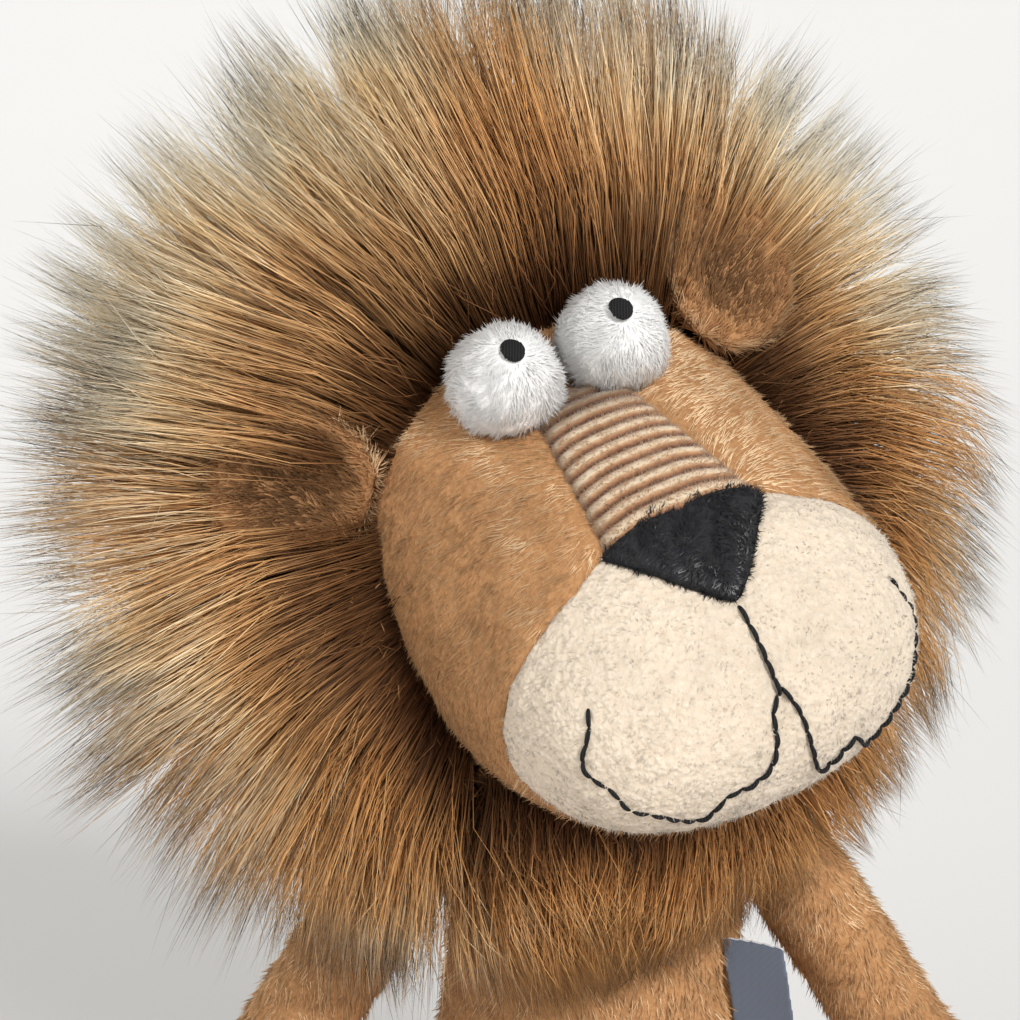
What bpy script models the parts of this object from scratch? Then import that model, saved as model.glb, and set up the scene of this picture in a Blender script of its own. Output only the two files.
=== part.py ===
"""A sitting plush lion with a long-haired mane, built as sewn covers round their fillings.

Metres, +Z up. The lion faces -Y, its own left side is +X, and the origin is the middle
of the flat seat that it rests on. The head turns on a stuffed neck ball and is modelled
turned, tilted and slightly raised, as it sits at rest.
"""

import math

import bmesh
import bpy
from mathutils import Matrix, Vector
from mathutils.bvhtree import BVHTree

MM = 0.001

# Sewing
PLUSH_WALL = 2.2 * MM
SEAM_GAP = 0.3 * MM
FIT_GAP = 0.35 * MM
STUFFING_OPENING = 6 * MM
FLOOR_FLAT = 0.5 * MM
CUT_OVERRUN = 12 * MM
MERGE_DISTANCE = 0.02 * MM

# Torso, upright on its seat
TORSO_HEIGHT = 170 * MM
TORSO_WIDTH = 116 * MM
TORSO_DEPTH = 96 * MM
SEAT_PANEL_WIDTH = 66 * MM
SEAT_PANEL_DEPTH = 56 * MM
BEAN_BAG_HEIGHT = 20 * MM

# Neck ball, half in the torso and half in the head
NECK_RADIUS = 24 * MM
NECK_HEIGHT = 178 * MM
NECK_ASIDE = 4 * MM

# Head, sized along its own axes from the neck ball's centre
HEAD_WIDTH = 124 * MM
HEAD_LENGTH = 167 * MM
HEAD_HEIGHT = 133 * MM
HEAD_BEHIND_NECK = 46 * MM
HEAD_BELOW_NECK = 5 * MM
HEAD_NOD = math.radians(-6.5)
HEAD_TILT = math.radians(-16.6)
HEAD_TURN = math.radians(24.0)

# Face
EYE_RADIUS = 15.4 * MM
EYE_WALL = 1.6 * MM
PUPIL_RADIUS = 2.7 * MM
PUPIL_RISE = math.radians(38)
NOSE_WIDTH = 46.6 * MM
NOSE_HEIGHT = 34 * MM
BRIDGE_TOP_WIDTH = 25 * MM
BRIDGE_FOOT_WIDTH = 43 * MM
THREAD_RADIUS = 0.8 * MM
EAR_WIDTH = 36 * MM
EAR_HEIGHT = 42 * MM
EAR_LAYER = 3.0 * MM
EAR_CUP = 6 * MM
EAR_ROOT_REACH = 14 * MM
EAR_ROOM = 1.5 * MM

# Mane, round the mane axis that runs along the head
MANE_RADIUS = 148 * MM
MANE_FRONT_BELOW = 26 * MM
MANE_AXIS_HEIGHT = 81 * MM
MANE_LENGTH = 130 * MM
MANE_LOCKS = 30
BIB_WIDTH = 46 * MM
NECK_ROOM = 52 * MM
SHOULDER_ROOM = 8 * MM
SHOULDER_ROOM_REACH = 170 * MM

# Arms, each on a stuffed root ball
SHOULDER_ASIDE = 50 * MM
SHOULDER_HEIGHT = 148 * MM
ARM_LENGTH = 152 * MM
ARM_ROOT_RADIUS = 17 * MM
PAW_RADIUS = 19.5 * MM
ARM_SPREAD = math.radians(33)
ARM_FORWARD = math.radians(12)

# Legs, each on a stuffed root ball
HIP_ASIDE = 36 * MM
HIP_FORWARD = 40 * MM
LEG_ROOT_RADIUS = 20 * MM
LEG_LENGTH = 163 * MM
FOOT_HEIGHT = 74 * MM
FOOT_WIDTH = 46 * MM
LEG_SPREAD = math.radians(18)
SOLE_WIDTH = 36 * MM
SOLE_HEIGHT = 50 * MM

# Tail and its tuft
TAIL_BEHIND = 47 * MM
TAIL_ROOT_HEIGHT = 12 * MM
TAIL_ROOT_RADIUS = 10 * MM
TAIL_RADIUS = 7 * MM
TAIL_REACH = 118 * MM
TAIL_ASIDE = 165 * MM
TUFT_RADIUS = 16 * MM
TUFT_LOCKS = 8

# Side label, a folded ribbon left blank
LABEL_WIDTH = 18 * MM
LABEL_LENGTH = 34 * MM
LABEL_THICKNESS = 0.8 * MM
LABEL_TURN = math.radians(-14)
LABEL_FORWARD_SHARE = 0.47
LABEL_MIDDLE_HEIGHT = 106 * MM
LABEL_STAND_OFF = 1.9 * MM

# Points round each kind of section
HEAD_SIDES = 22
TORSO_SIDES = 20
NECK_SIDES = 14
LIMB_SIDES = 12
EAR_SIDES = 14
EYE_SIDES = 14
SOLE_SIDES = 16

# Sections of the head: share of the length from the back, then half width, top and underside
HEAD_SECTION_SHARES = [
    (0.018, 0.32, 0.71, 0.43),
    (0.07, 0.61, 0.85, 0.28),
    (0.17, 0.855, 0.955, 0.135),
    (0.29, 0.98, 1.0, 0.06),
    (0.42, 1.0, 0.977, 0.03),
    (0.53, 0.99, 0.887, 0.015),
    (0.63, 0.965, 0.80, 0.004),
    (0.73, 0.935, 0.714, 0.0),
    (0.826, 0.895, 0.628, 0.011),
    (0.892, 0.82, 0.549, 0.038),
    (0.943, 0.69, 0.466, 0.079),
    (0.979, 0.485, 0.383, 0.135),
    (0.997, 0.225, 0.30, 0.195),
]
HEAD_BACK_TIP_SHARE = 0.57
HEAD_FRONT_TIP_SHARE = 0.245
HEAD_FULLNESS_SHARE = 2.3

# Sections of the torso: share of the height, then half width and half depth
TORSO_SECTION_SHARES = [
    (0.0, 0.74, 0.78),
    (0.035, 0.91, 0.93),
    (0.14, 1.0, 1.0),
    (0.30, 0.955, 0.96),
    (0.48, 0.83, 0.87),
    (0.675, 0.745, 0.77),
    (0.81, 0.73, 0.70),
    (0.90, 0.63, 0.57),
    (0.965, 0.41, 0.37),
]

# Where the head's length, width and height place its features
EYE_PLACE_SHARES = (0.255, 0.572, 0.895)
NOSE_CORNER_SHARES = (0.845, 0.595)
NOSE_BOTTOM_SHARES = (0.949, 0.447)
BRIDGE_TOP_SHARE = 0.593
BRIDGE_FOOT_SHARE = 0.835
EAR_PLACE_SHARES = (0.93, 0.431, 0.835)
MUZZLE_SEAM_SHARES = [
    (0.838, 0.75),
    (0.838, 0.61),
    (0.850, 0.55),
    (0.838, 0.48),
    (0.808, 0.42),
    (0.766, 0.34),
    (0.740, 0.263),
    (0.749, 0.195),
    (0.779, 0.12),
    (0.826, 0.045),
    (0.874, -0.03),
    (1.12, -0.03),
    (1.12, 0.75),
]
CENTRE_THREAD_SHARES = [0.425, 0.38, 0.33, 0.28]
# The smile leaves the middle a little lower on its left side, then runs alike on both
MOUTH_START_SHARES = {
    "left": [(0.055, 0.235), (0.075, 0.165), (0.105, 0.105), (0.15, 0.09), (0.22, 0.105)],
    "right": [(0.055, 0.25), (0.07, 0.20), (0.11, 0.155), (0.19, 0.135)],
}
MOUTH_THREAD_SHARES = [
    (0.30, 0.125),
    (0.375, 0.09),
    (0.47, 0.105),
    (0.58, 0.14),
    (0.66, 0.165),
    (0.705, 0.21),
    (0.76, 0.25),
    (0.765, 0.285),
    (0.72, 0.33),
    (0.69, 0.372),
]

# Rings of the mane: share of its length from the front, share of its radius, depth of its locks
MANE_RING_SHARES = [
    (0.0, 0.23, 0.0),
    (0.015, 0.54, 0.0),
    (0.077, 0.80, 0.03),
    (0.17, 0.93, 0.08),
    (0.246, 1.0, 0.16),
    (0.36, 0.89, 0.09),
    (0.52, 0.80, 0.16),
    (0.67, 0.645, 0.09),
    (0.81, 0.46, 0.16),
    (0.90, 0.26, 0.07),
]
MANE_FRONT_SHARE = 0.49
# How steeply the space over the arms falls away beyond the shoulders
SHOULDER_FALL_SHARE = 0.5
# Panels of the mane: angles from its top, and where each starts and ends along the mane axis
MANE_PANELS = {
    "mane_crown_left": (0, 72, -1, 1),
    "mane_crown_right": (288, 360, -1, 1),
    "mane_side_left": (72, 168, -1, 1),
    "mane_side_right": (222, 288, -1, 1),
    "mane_bib": (168, 222, -1, 0),
    "mane_nape": (168, 222, 0, 1),
}

# Limb profiles: share of the length, then radius as a share of the root's
ARM_SECTION_SHARES = [(0.15, 0.90), (0.36, 0.90), (0.60, 0.96)]
PAW_SECTION_SHARES = [(0.80, 1.0), (0.90, 0.93), (0.965, 0.62)]
LEG_SECTION_SHARES = [(0.19, 0.87), (0.42, 0.87), (0.66, 0.90), (0.81, 1.0)]
# Foot: share of the leg's length, share of its height, lean, half width and half depth shares
FOOT_SECTION_SHARES = [
    (0.93, 0.34, 30, 0.95, 0.33),
    (0.99, 0.53, 65, 1.0, 0.285),
    (1.0, 0.69, 85, 1.0, 0.23),
    (1.0, 0.84, 90, 0.83, 0.176),
    (0.995, 0.95, 90, 0.48, 0.11),
]
# Tail: shares of its sideways reach, backward reach and root height, then its radius share
TAIL_SECTION_SHARES = [
    (0.03, 0.24, 0.70, 1.0),
    (0.13, 0.45, 0.64, 1.0),
    (0.29, 0.57, 0.64, 1.0),
    (0.47, 0.58, 0.64, 1.0),
    (0.61, 0.53, 0.66, 0.93),
    (0.67, 0.50, 0.68, 0.60),
]
TUFT_SECTION_SHARES = [
    (0.56, 0.56, 0.82, 0.56),
    (0.66, 0.51, 1.1, 0.86),
    (0.76, 0.44, 1.3, 1.0),
    (0.86, 0.36, 1.2, 0.84),
    (0.95, 0.28, 1.0, 0.45),
]


def collection(name):
    group = bpy.data.collections.new(name)
    bpy.context.scene.collection.children.link(group)
    return group


def finish(name, colour, roughness):
    """A cloth material of one colour."""
    made = bpy.data.materials.new(name)
    made.use_nodes = True
    shader = made.node_tree.nodes["Principled BSDF"]
    shader.inputs["Base Color"].default_value = (*colour, 1)
    shader.inputs["Roughness"].default_value = roughness
    shader.inputs["Metallic"].default_value = 0
    made.diffuse_color = (*colour, 1)
    return made


for old in list(bpy.data.objects):
    bpy.data.objects.remove(old)

LION = collection("plush_lion")
CUTTERS = collection("cutters")

TAN_PLUSH = finish("tan_plush", (0.42, 0.22, 0.09), 0.9)
CREAM_TERRY = finish("cream_terry", (0.80, 0.68, 0.50), 0.95)
RIBBED_CORD = finish("ribbed_cord", (0.45, 0.23, 0.11), 0.85)
BLACK_VELOUR = finish("black_velour", (0.012, 0.012, 0.015), 0.9)
WHITE_PLUSH = finish("white_plush", (0.85, 0.85, 0.83), 0.95)
BLACK_THREAD = finish("black_thread", (0.01, 0.01, 0.012), 0.7)
MANE_FUR = finish("mane_fur", (0.38, 0.19, 0.07), 0.8)
WADDING = finish("wadding", (0.85, 0.85, 0.82), 1.0)
PELLET_BAG = finish("pellet_bag", (0.60, 0.60, 0.57), 0.9)
GREY_RIBBON = finish("grey_ribbon", (0.10, 0.12, 0.16), 0.6)
WHITE_RIBBON = finish("white_ribbon", (0.75, 0.78, 0.80), 0.6)


def stand(name, place, turn=(0, 0, 0)):
    """An empty that carries the pieces of one moving body, on its joint's axis."""
    carrier = bpy.data.objects.new(name, None)
    carrier.location = place
    carrier.rotation_euler = turn
    LION.objects.link(carrier)
    return carrier


NECK_CENTRE = Vector((NECK_ASIDE, 0, NECK_HEIGHT))
torso_stand = stand("torso_stand", (0, 0, 0))
neck_stand = stand("neck_stand", NECK_CENTRE)
head_stand = stand("head_stand", NECK_CENTRE, (HEAD_NOD, HEAD_TILT, HEAD_TURN))


def flat_faced(form, name):
    """A mesh of the form in triangles, so that every face that is cut is flat."""
    split = form.copy()
    bmesh.ops.triangulate(split, faces=split.faces)
    mesh = bpy.data.meshes.new(name)
    split.to_mesh(mesh)
    return mesh


def cutter(name, form, carrier):
    """A guide solid that cuts or limits pieces and isn't one itself."""
    mesh = flat_faced(form, name)
    guide = bpy.data.objects.new(name, mesh)
    guide.parent = carrier
    guide.hide_render = True
    guide.display_type = "WIRE"
    CUTTERS.objects.link(guide)
    return guide


def piece(name, form, cloth, carrier, wall=None, within=(), without=(), solver="EXACT"):
    """One solid: the form, or a wall inside it, kept within some guides and cut by others."""
    mesh = flat_faced(form, name)
    mesh.materials.append(cloth)
    mesh.shade_smooth()
    mesh.set_sharp_from_angle(angle=math.radians(50))
    solid = bpy.data.objects.new(name, mesh)
    solid.parent = carrier
    LION.objects.link(solid)
    if wall:
        thicken = solid.modifiers.new("wall", "SOLIDIFY")
        thicken.thickness = wall
        thicken.offset = -1
        thicken.use_even_offset = True
    for operation, guides in (("INTERSECT", within), ("DIFFERENCE", without)):
        for guide in guides:
            cut = solid.modifiers.new(guide.name, "BOOLEAN")
            cut.operation = operation
            cut.solver = solver
            cut.object = guide
    if within or without:
        clean = solid.modifiers.new("clean", "WELD")
        clean.merge_threshold = MERGE_DISTANCE
    return solid


def section(centre, across, up, half_width, half_height, count, fullness=2.0, locks=None):
    """One oval ring; fullness above 2 squares its corners, and locks scale each point."""
    points = []
    for i in range(count):
        turn = math.tau * i / count
        c, s = math.cos(turn), math.sin(turn)
        x = half_width * math.copysign(abs(c) ** (2 / fullness), c)
        z = half_height * math.copysign(abs(s) ** (2 / fullness), s)
        scale = locks(i) if locks else 1
        points.append(centre + (across * x + up * z) * scale)
    return points


def loft(rings):
    """A skin over rings in order; a ring of one point is a tip, and an end without one is open."""
    form = bmesh.new()
    rows = [[form.verts.new(point) for point in ring] for ring in rings]
    for near, far in zip(rows, rows[1:]):
        count = max(len(near), len(far))
        for i in range(count):
            j = (i + 1) % count
            corners = [
                near[i % len(near)],
                near[j % len(near)],
                far[j % len(far)],
                far[i % len(far)],
            ]
            form.faces.new(list(dict.fromkeys(corners)))
    bmesh.ops.recalc_face_normals(form, faces=form.faces)
    return form


def grown(form, distance):
    """A copy whose faces stand off the form by a distance, or inside it if that is negative."""
    copy = form.copy()
    copy.normal_update()
    moves = [(v, v.normal * v.calc_shell_factor() * distance) for v in copy.verts]
    for v, move in moves:
        v.co += move
    return copy


def ball(radius, centre, around, over=8):
    form = bmesh.new()
    bmesh.ops.create_uvsphere(
        form,
        u_segments=around,
        v_segments=over,
        radius=radius,
        matrix=Matrix.Translation(centre),
    )
    return form


def socket(radius, centre, around, over=8):
    """A ball whose flats, not only its corners, clear a ball of that radius."""
    facets = math.cos(math.pi / around) * math.cos(math.pi / over / 2)
    return ball((radius + FIT_GAP) / facets, centre, around, over)


def block(low, high):
    """A box between two corners."""
    low, high = Vector(low), Vector(high)
    size = high - low
    form = bmesh.new()
    place = Matrix.Translation((low + high) / 2) @ Matrix.Diagonal((*size, 1))
    bmesh.ops.create_cube(form, size=1, matrix=place)
    return form


def oval_rod(half_width, half_height, length, place, count=24):
    """A rod of oval section along its own Z, placed by a matrix."""
    form = bmesh.new()
    shape = place @ Matrix.Diagonal((half_width, half_height, length, 1))
    bmesh.ops.create_cone(
        form,
        cap_ends=True,
        segments=count,
        radius1=1,
        radius2=1,
        depth=1,
        matrix=shape,
    )
    return form


def prism(outline, push):
    """A flat outline pushed out into a solid."""
    form = bmesh.new()
    face = form.faces.new([form.verts.new(point) for point in outline])
    made = bmesh.ops.extrude_face_region(form, geom=[face])
    moved = [v for v in made["geom"] if isinstance(v, bmesh.types.BMVert)]
    bmesh.ops.translate(form, verts=moved, vec=push)
    bmesh.ops.recalc_face_normals(form, faces=form.faces)
    return form


# A part of the head is placed by its share of the width, the length and the height
def on_head(width_share, length_share, height_share):
    return Vector(
        (
            width_share * HEAD_WIDTH / 2,
            HEAD_BEHIND_NECK - length_share * HEAD_LENGTH,
            height_share * HEAD_HEIGHT - HEAD_BELOW_NECK,
        )
    )


X_AXIS, Y_AXIS, Z_AXIS = Vector((1, 0, 0)), Vector((0, 1, 0)), Vector((0, 0, 1))
SIDES = {"left": 1, "right": -1}


def head_form():
    """The whole stuffed head without its ears, from the back of the skull to the muzzle."""
    rings = [[on_head(0, 0, HEAD_BACK_TIP_SHARE)]]
    for along, width, top, under in HEAD_SECTION_SHARES:
        centre = on_head(0, along, (top + under) / 2)
        rings.append(
            section(
                centre,
                X_AXIS,
                Z_AXIS,
                width * HEAD_WIDTH / 2,
                (top - under) * HEAD_HEIGHT / 2,
                HEAD_SIDES,
                HEAD_FULLNESS_SHARE,
            )
        )
    rings.append([on_head(0, 1, HEAD_FRONT_TIP_SHARE)])
    return loft(rings)


HEAD_FORM = head_form()
HEAD_SURFACE = BVHTree.FromBMesh(HEAD_FORM)
HEAD_REACH = HEAD_LENGTH + HEAD_WIDTH


def on_muzzle(width_share, height_share):
    """The point of the muzzle's front at that width and height."""
    start = on_head(width_share, 1, height_share) - Y_AXIS * HEAD_LENGTH
    return HEAD_SURFACE.ray_cast(start, Y_AXIS)[0]


# Guides on the head
neck_room = cutter("neck_room", socket(NECK_RADIUS, Vector(), NECK_SIDES), head_stand)
head_room = cutter("head_room", grown(HEAD_FORM, FIT_GAP), head_stand)


def half_guide(name, side, gap):
    """Everything on one side of the middle seam, less half of the seam's gap."""
    near, far = side * gap / 2, side * HEAD_REACH
    low = (min(near, far), -HEAD_REACH, -HEAD_REACH)
    high = (max(near, far), HEAD_REACH, HEAD_REACH)
    return cutter(name, block(low, high), head_stand)


def muzzle_guide(name, gap):
    """The front of the head ahead of the seam round the muzzle."""
    reach = X_AXIS * HEAD_WIDTH
    outline = [on_head(0, along, height) - reach for along, height in MUZZLE_SEAM_SHARES]
    return cutter(name, grown(prism(outline, reach * 2), gap), head_stand)


def bridge_guide(name, gap):
    """The tapered strip between the eyes and the nose, seen from above."""
    top = BRIDGE_TOP_WIDTH / HEAD_WIDTH
    foot = BRIDGE_FOOT_WIDTH / HEAD_WIDTH
    level = NOSE_BOTTOM_SHARES[1]
    outline = [
        on_head(-top, BRIDGE_TOP_SHARE, level),
        on_head(top, BRIDGE_TOP_SHARE, level),
        on_head(foot, BRIDGE_FOOT_SHARE, level),
        on_head(-foot, BRIDGE_FOOT_SHARE, level),
    ]
    return cutter(name, grown(prism(outline, Z_AXIS * HEAD_HEIGHT), gap), head_stand)


def nose_guide(name, gap):
    """The nose's rounded triangle, pushed through the muzzle's wall square to its slope."""
    corner = on_head(0, *NOSE_CORNER_SHARES)
    bottom = on_head(0, *NOSE_BOTTOM_SHARES)
    down = (bottom - corner).normalized()
    out = X_AXIS.cross(down).normalized()
    fall = (bottom - corner).length
    bulge = NOSE_HEIGHT - fall
    half = NOSE_WIDTH / 2
    outline = []
    steps = 8
    for i in range(steps + 1):
        share = 2 * i / steps - 1
        outline.append(corner + X_AXIS * half * share - down * bulge * (1 - share * share))
    for side in (1, -1):
        for i in range(1, steps // 2):
            share = i / (steps / 2)
            share = share if side > 0 else 1 - share
            width = half * (1 - share) ** 0.85
            outline.append(corner + X_AXIS * side * width + down * fall * share)
        if side > 0:
            outline.append(bottom)
    shape = prism([point - out * NOSE_HEIGHT / 2 for point in outline], out * NOSE_HEIGHT)
    return cutter(name, grown(shape, gap), head_stand)


def thread_path(shares, side):
    return [on_muzzle(side * width, height) for width, height in shares]


def lengthened(path, extra):
    """The same path with both of its ends carried on by a length."""
    start = path[0] + (path[0] - path[1]).normalized() * extra
    end = path[-1] + (path[-1] - path[-2]).normalized() * extra
    return [start, *path[1:-1], end]


def cord_form(path, radius, name):
    """A round thread along its points, as a closed mesh."""
    curve = bpy.data.curves.new(name, "CURVE")
    curve.dimensions = "3D"
    curve.bevel_depth = radius
    curve.bevel_resolution = 1
    curve.use_fill_caps = True
    line = curve.splines.new("POLY")
    line.points.add(len(path) - 1)
    for knot, point in zip(line.points, path):
        knot.co = (*point, 1)
    lead = bpy.data.objects.new(name, curve)
    bpy.context.scene.collection.objects.link(lead)
    shape = lead.evaluated_get(bpy.context.evaluated_depsgraph_get())
    mesh = bpy.data.meshes.new_from_object(shape)
    bpy.data.objects.remove(lead)
    form = bmesh.new()
    form.from_mesh(mesh)
    bmesh.ops.remove_doubles(form, verts=form.verts, dist=MERGE_DISTANCE)
    bmesh.ops.recalc_face_normals(form, faces=form.faces)
    return form


muzzle_in = muzzle_guide("muzzle_in", 0)
muzzle_room = muzzle_guide("muzzle_room", SEAM_GAP)
bridge_in = bridge_guide("bridge_in", 0)
bridge_room = bridge_guide("bridge_room", SEAM_GAP)
nose_in = nose_guide("nose_in", 0)
nose_room = nose_guide("nose_room", SEAM_GAP)
half_in = {side: half_guide(side + "_half", sign, SEAM_GAP) for side, sign in SIDES.items()}


def stitches():
    """The thread down the middle of the muzzle and the wavy smile, and the grooves they lie in."""
    middle = [(0, height) for height in CENTRE_THREAD_SHARES]
    paths = {"centre_thread": thread_path(middle, 1)}
    for side, sign in SIDES.items():
        shares = MOUTH_START_SHARES[side] + MOUTH_THREAD_SHARES
        paths["mouth_thread_" + side] = thread_path(shares, sign)
    grooves = []
    for name, path in paths.items():
        form = cord_form(path, THREAD_RADIUS, name)
        piece(name, form, BLACK_THREAD, head_stand)
        run = lengthened(path, FIT_GAP)
        groove = cord_form(run, THREAD_RADIUS + FIT_GAP, name + "_groove")
        grooves.append(cutter(name + "_groove", groove, head_stand))
    return grooves


def head_covers(grooves):
    wall = PLUSH_WALL
    for side in SIDES:
        keep = [half_in[side]]
        cut = [neck_room, muzzle_room, bridge_room, nose_room]
        piece("head_cover_" + side, HEAD_FORM, TAN_PLUSH, head_stand, wall, keep, cut)
        keep = [muzzle_in, half_in[side]]
        cut = [nose_room, bridge_room, *grooves]
        piece("muzzle_" + side, HEAD_FORM, CREAM_TERRY, head_stand, wall, keep, cut)
    piece("nose_bridge", HEAD_FORM, RIBBED_CORD, head_stand, wall, [bridge_in], [nose_room])
    piece("nose", HEAD_FORM, BLACK_VELOUR, head_stand, wall, [nose_in])
    inside = grown(HEAD_FORM, -(PLUSH_WALL + FIT_GAP))
    piece("head_filling", inside, WADDING, head_stand, without=[neck_room, *grooves])


def eyes():
    """Each eye is a stuffed ball seated on the forehead, with its pupil let into the cover."""
    rooms = []
    for side, sign in SIDES.items():
        width, along, height = EYE_PLACE_SHARES
        centre = on_head(sign * width, along, height)
        look = Vector((0, -math.cos(PUPIL_RISE), math.sin(PUPIL_RISE)))
        aim = look.to_track_quat("Z", "Y").to_matrix().to_4x4()
        place = Matrix.Translation(centre + look * EYE_RADIUS) @ aim
        pupil_in = cutter(
            "pupil_in_" + side,
            oval_rod(PUPIL_RADIUS, PUPIL_RADIUS, EYE_RADIUS, place, 14),
            head_stand,
        )
        room = PUPIL_RADIUS + SEAM_GAP
        pupil_room = cutter(
            "pupil_room_" + side,
            oval_rod(room, room, EYE_RADIUS, place, 14),
            head_stand,
        )
        globe = ball(EYE_RADIUS, centre, EYE_SIDES)
        cover = [head_room, pupil_room]
        piece("eye_" + side, globe, WHITE_PLUSH, head_stand, EYE_WALL, without=cover)
        piece(
            "pupil_" + side,
            globe,
            BLACK_THREAD,
            head_stand,
            EYE_WALL,
            [pupil_in],
        )
        stuffing = grown(globe, -(EYE_WALL + FIT_GAP))
        piece("eye_filling_" + side, stuffing, WADDING, head_stand, without=[head_room])
        rooms.append(cutter("eye_room_" + side, socket(EYE_RADIUS, centre, EYE_SIDES), head_stand))
    return rooms


EAR_RING_SHARES = (0.4, 0.75, 0.93, 1)
# Each ear leans its own way: how far its tip points outward, backward and up
EAR_LEAN_SHARES = {"left": (0.62, 0.42, 0.62), "right": (-0.88, 0.42, -0.12)}


def ears():
    """Two cupped layers of plush, sewn together at the rim and let in at the mane's edge."""
    rooms = []
    for side, sign in SIDES.items():
        width, along, height = EAR_PLACE_SHARES
        root = on_head(sign * width, along, height)
        up = Vector(EAR_LEAN_SHARES[side]).normalized()
        across = up.cross(-Y_AXIS).normalized()
        facing = across.cross(up).normalized()
        middle = root + up * EAR_ROOT_REACH

        rings = []
        for share in EAR_RING_SHARES:
            hollow = middle + facing * EAR_CUP * share * share
            half = share * EAR_WIDTH / 2, share * EAR_HEIGHT / 2
            rings.append(section(hollow, across, up, *half, EAR_SIDES))
        front = loft([[middle], *rings])
        if front.faces[:][0].normal.dot(facing) < 0:
            bmesh.ops.reverse_faces(front, faces=front.faces)
        back = grown(front, -(EAR_LAYER + SEAM_GAP))
        piece("ear_front_" + side, front, TAN_PLUSH, head_stand, EAR_LAYER, without=[head_room])
        piece("ear_back_" + side, back, TAN_PLUSH, head_stand, EAR_LAYER, without=[head_room])
        lie = Matrix((across, up, facing)).transposed().to_4x4()
        slope = math.atan(4 * EAR_CUP / EAR_WIDTH)
        room = EAR_ROOM + (2 * EAR_LAYER + SEAM_GAP) * math.sin(slope)
        size = EAR_WIDTH / 2 + room, EAR_HEIGHT / 2 + room
        depth = 2 * (EAR_CUP + 2 * EAR_LAYER + EAR_ROOM)
        rod = oval_rod(*size, depth, Matrix.Translation(middle) @ lie, EAR_SIDES)
        rooms.append(cutter("ear_room_" + side, rod, head_stand))
    return rooms


def mane_form():
    """The mane's whole outer shape, in rings round the mane axis from its front to its back."""
    count = 2 * MANE_LOCKS
    front = HEAD_BEHIND_NECK - MANE_FRONT_SHARE * HEAD_LENGTH
    axis = Z_AXIS * MANE_AXIS_HEIGHT
    rings = [[axis + Y_AXIS * front]]
    for row, (along, radius, depth) in enumerate(MANE_RING_SHARES):
        ring = []
        for i in range(count):
            turn = math.tau * (i + 0.5) / count
            lock = 1 - depth * ((i + row // 2) % 2)
            lock += 0.5 * depth * math.sin(5 * turn + row)
            low = ((1 - math.cos(turn)) / 2) ** 2
            ahead = MANE_FRONT_BELOW * low * (1 - along)
            out = X_AXIS * math.sin(turn) + Z_AXIS * math.cos(turn)
            place = front + along * MANE_LENGTH - ahead
            ring.append(axis + Y_AXIS * place + out * MANE_RADIUS * radius * lock)
        rings.append(ring)
    rings.append([axis + Y_AXIS * (front + MANE_LENGTH)])
    return loft(rings)


def panel_guide(name, start, end, ahead, behind):
    """A wedge about the mane axis between two angles from its top, less half the seam's gap."""
    start, end = math.radians(start), math.radians(end)
    reach = 2 * MANE_RADIUS
    middle = (start + end) / 2
    shift = SEAM_GAP / 2 / math.sin((end - start) / 2)
    apex = Vector((math.sin(middle), 0, math.cos(middle))) * shift
    apex += Z_AXIS * MANE_AXIS_HEIGHT + Y_AXIS * (ahead * reach + SEAM_GAP / 2)
    outline = [apex]
    for i in range(4):
        turn = start + (end - start) * i / 3
        outline.append(apex + Vector((math.sin(turn), 0, math.cos(turn))) * reach)
    push = Y_AXIS * ((behind - ahead) * reach - SEAM_GAP)
    return cutter(name, prism(outline, push), head_stand)


def shoulder_guide(side, sign):
    """The space above a shoulder that its arm sweeps, kept clear of the mane."""
    near, far = sign * BIB_WIDTH / 2, sign * SHOULDER_ROOM_REACH
    level_reach = SHOULDER_ASIDE + ARM_ROOT_RADIUS
    top = SHOULDER_HEIGHT + ARM_ROOT_RADIUS + SHOULDER_ROOM
    fall = (SHOULDER_ROOM_REACH - level_reach) * SHOULDER_FALL_SHARE
    places = [(near, 0), (near, top), (sign * level_reach, top), (far, top - fall), (far, 0)]
    front = Vector((0, -SHOULDER_ROOM_REACH, 0))
    outline = [front + Vector((aside, 0, height)) for aside, height in places]
    return cutter("shoulder_room_" + side, prism(outline, -front * 2), None)


def mane(rooms):
    form = mane_form()
    column = oval_rod(
        NECK_ROOM,
        NECK_ROOM,
        2 * NECK_HEIGHT,
        Matrix.Translation((NECK_ASIDE, 0, NECK_RADIUS)),
    )
    clear = [cutter("neck_column", column, None)]
    clear += [shoulder_guide(side, sign) for side, sign in SIDES.items()]
    for name, extent in MANE_PANELS.items():
        within = [panel_guide(name + "_panel", *extent)]
        without = [head_room, *clear, *rooms]
        piece(name, form, MANE_FUR, head_stand, None, within, without, "MANIFOLD")


def torso_form():
    rings = [[Vector()]]
    for height, width, depth in TORSO_SECTION_SHARES:
        centre = Z_AXIS * height * TORSO_HEIGHT
        half_width, half_depth = width * TORSO_WIDTH / 2, depth * TORSO_DEPTH / 2
        rings.append(section(centre, X_AXIS, Y_AXIS, half_width, half_depth, TORSO_SIDES))
    rings.append([Z_AXIS * TORSO_HEIGHT])
    return loft(rings)


def world_block(name, low, high):
    return cutter(name, block(low, high), None)


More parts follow.
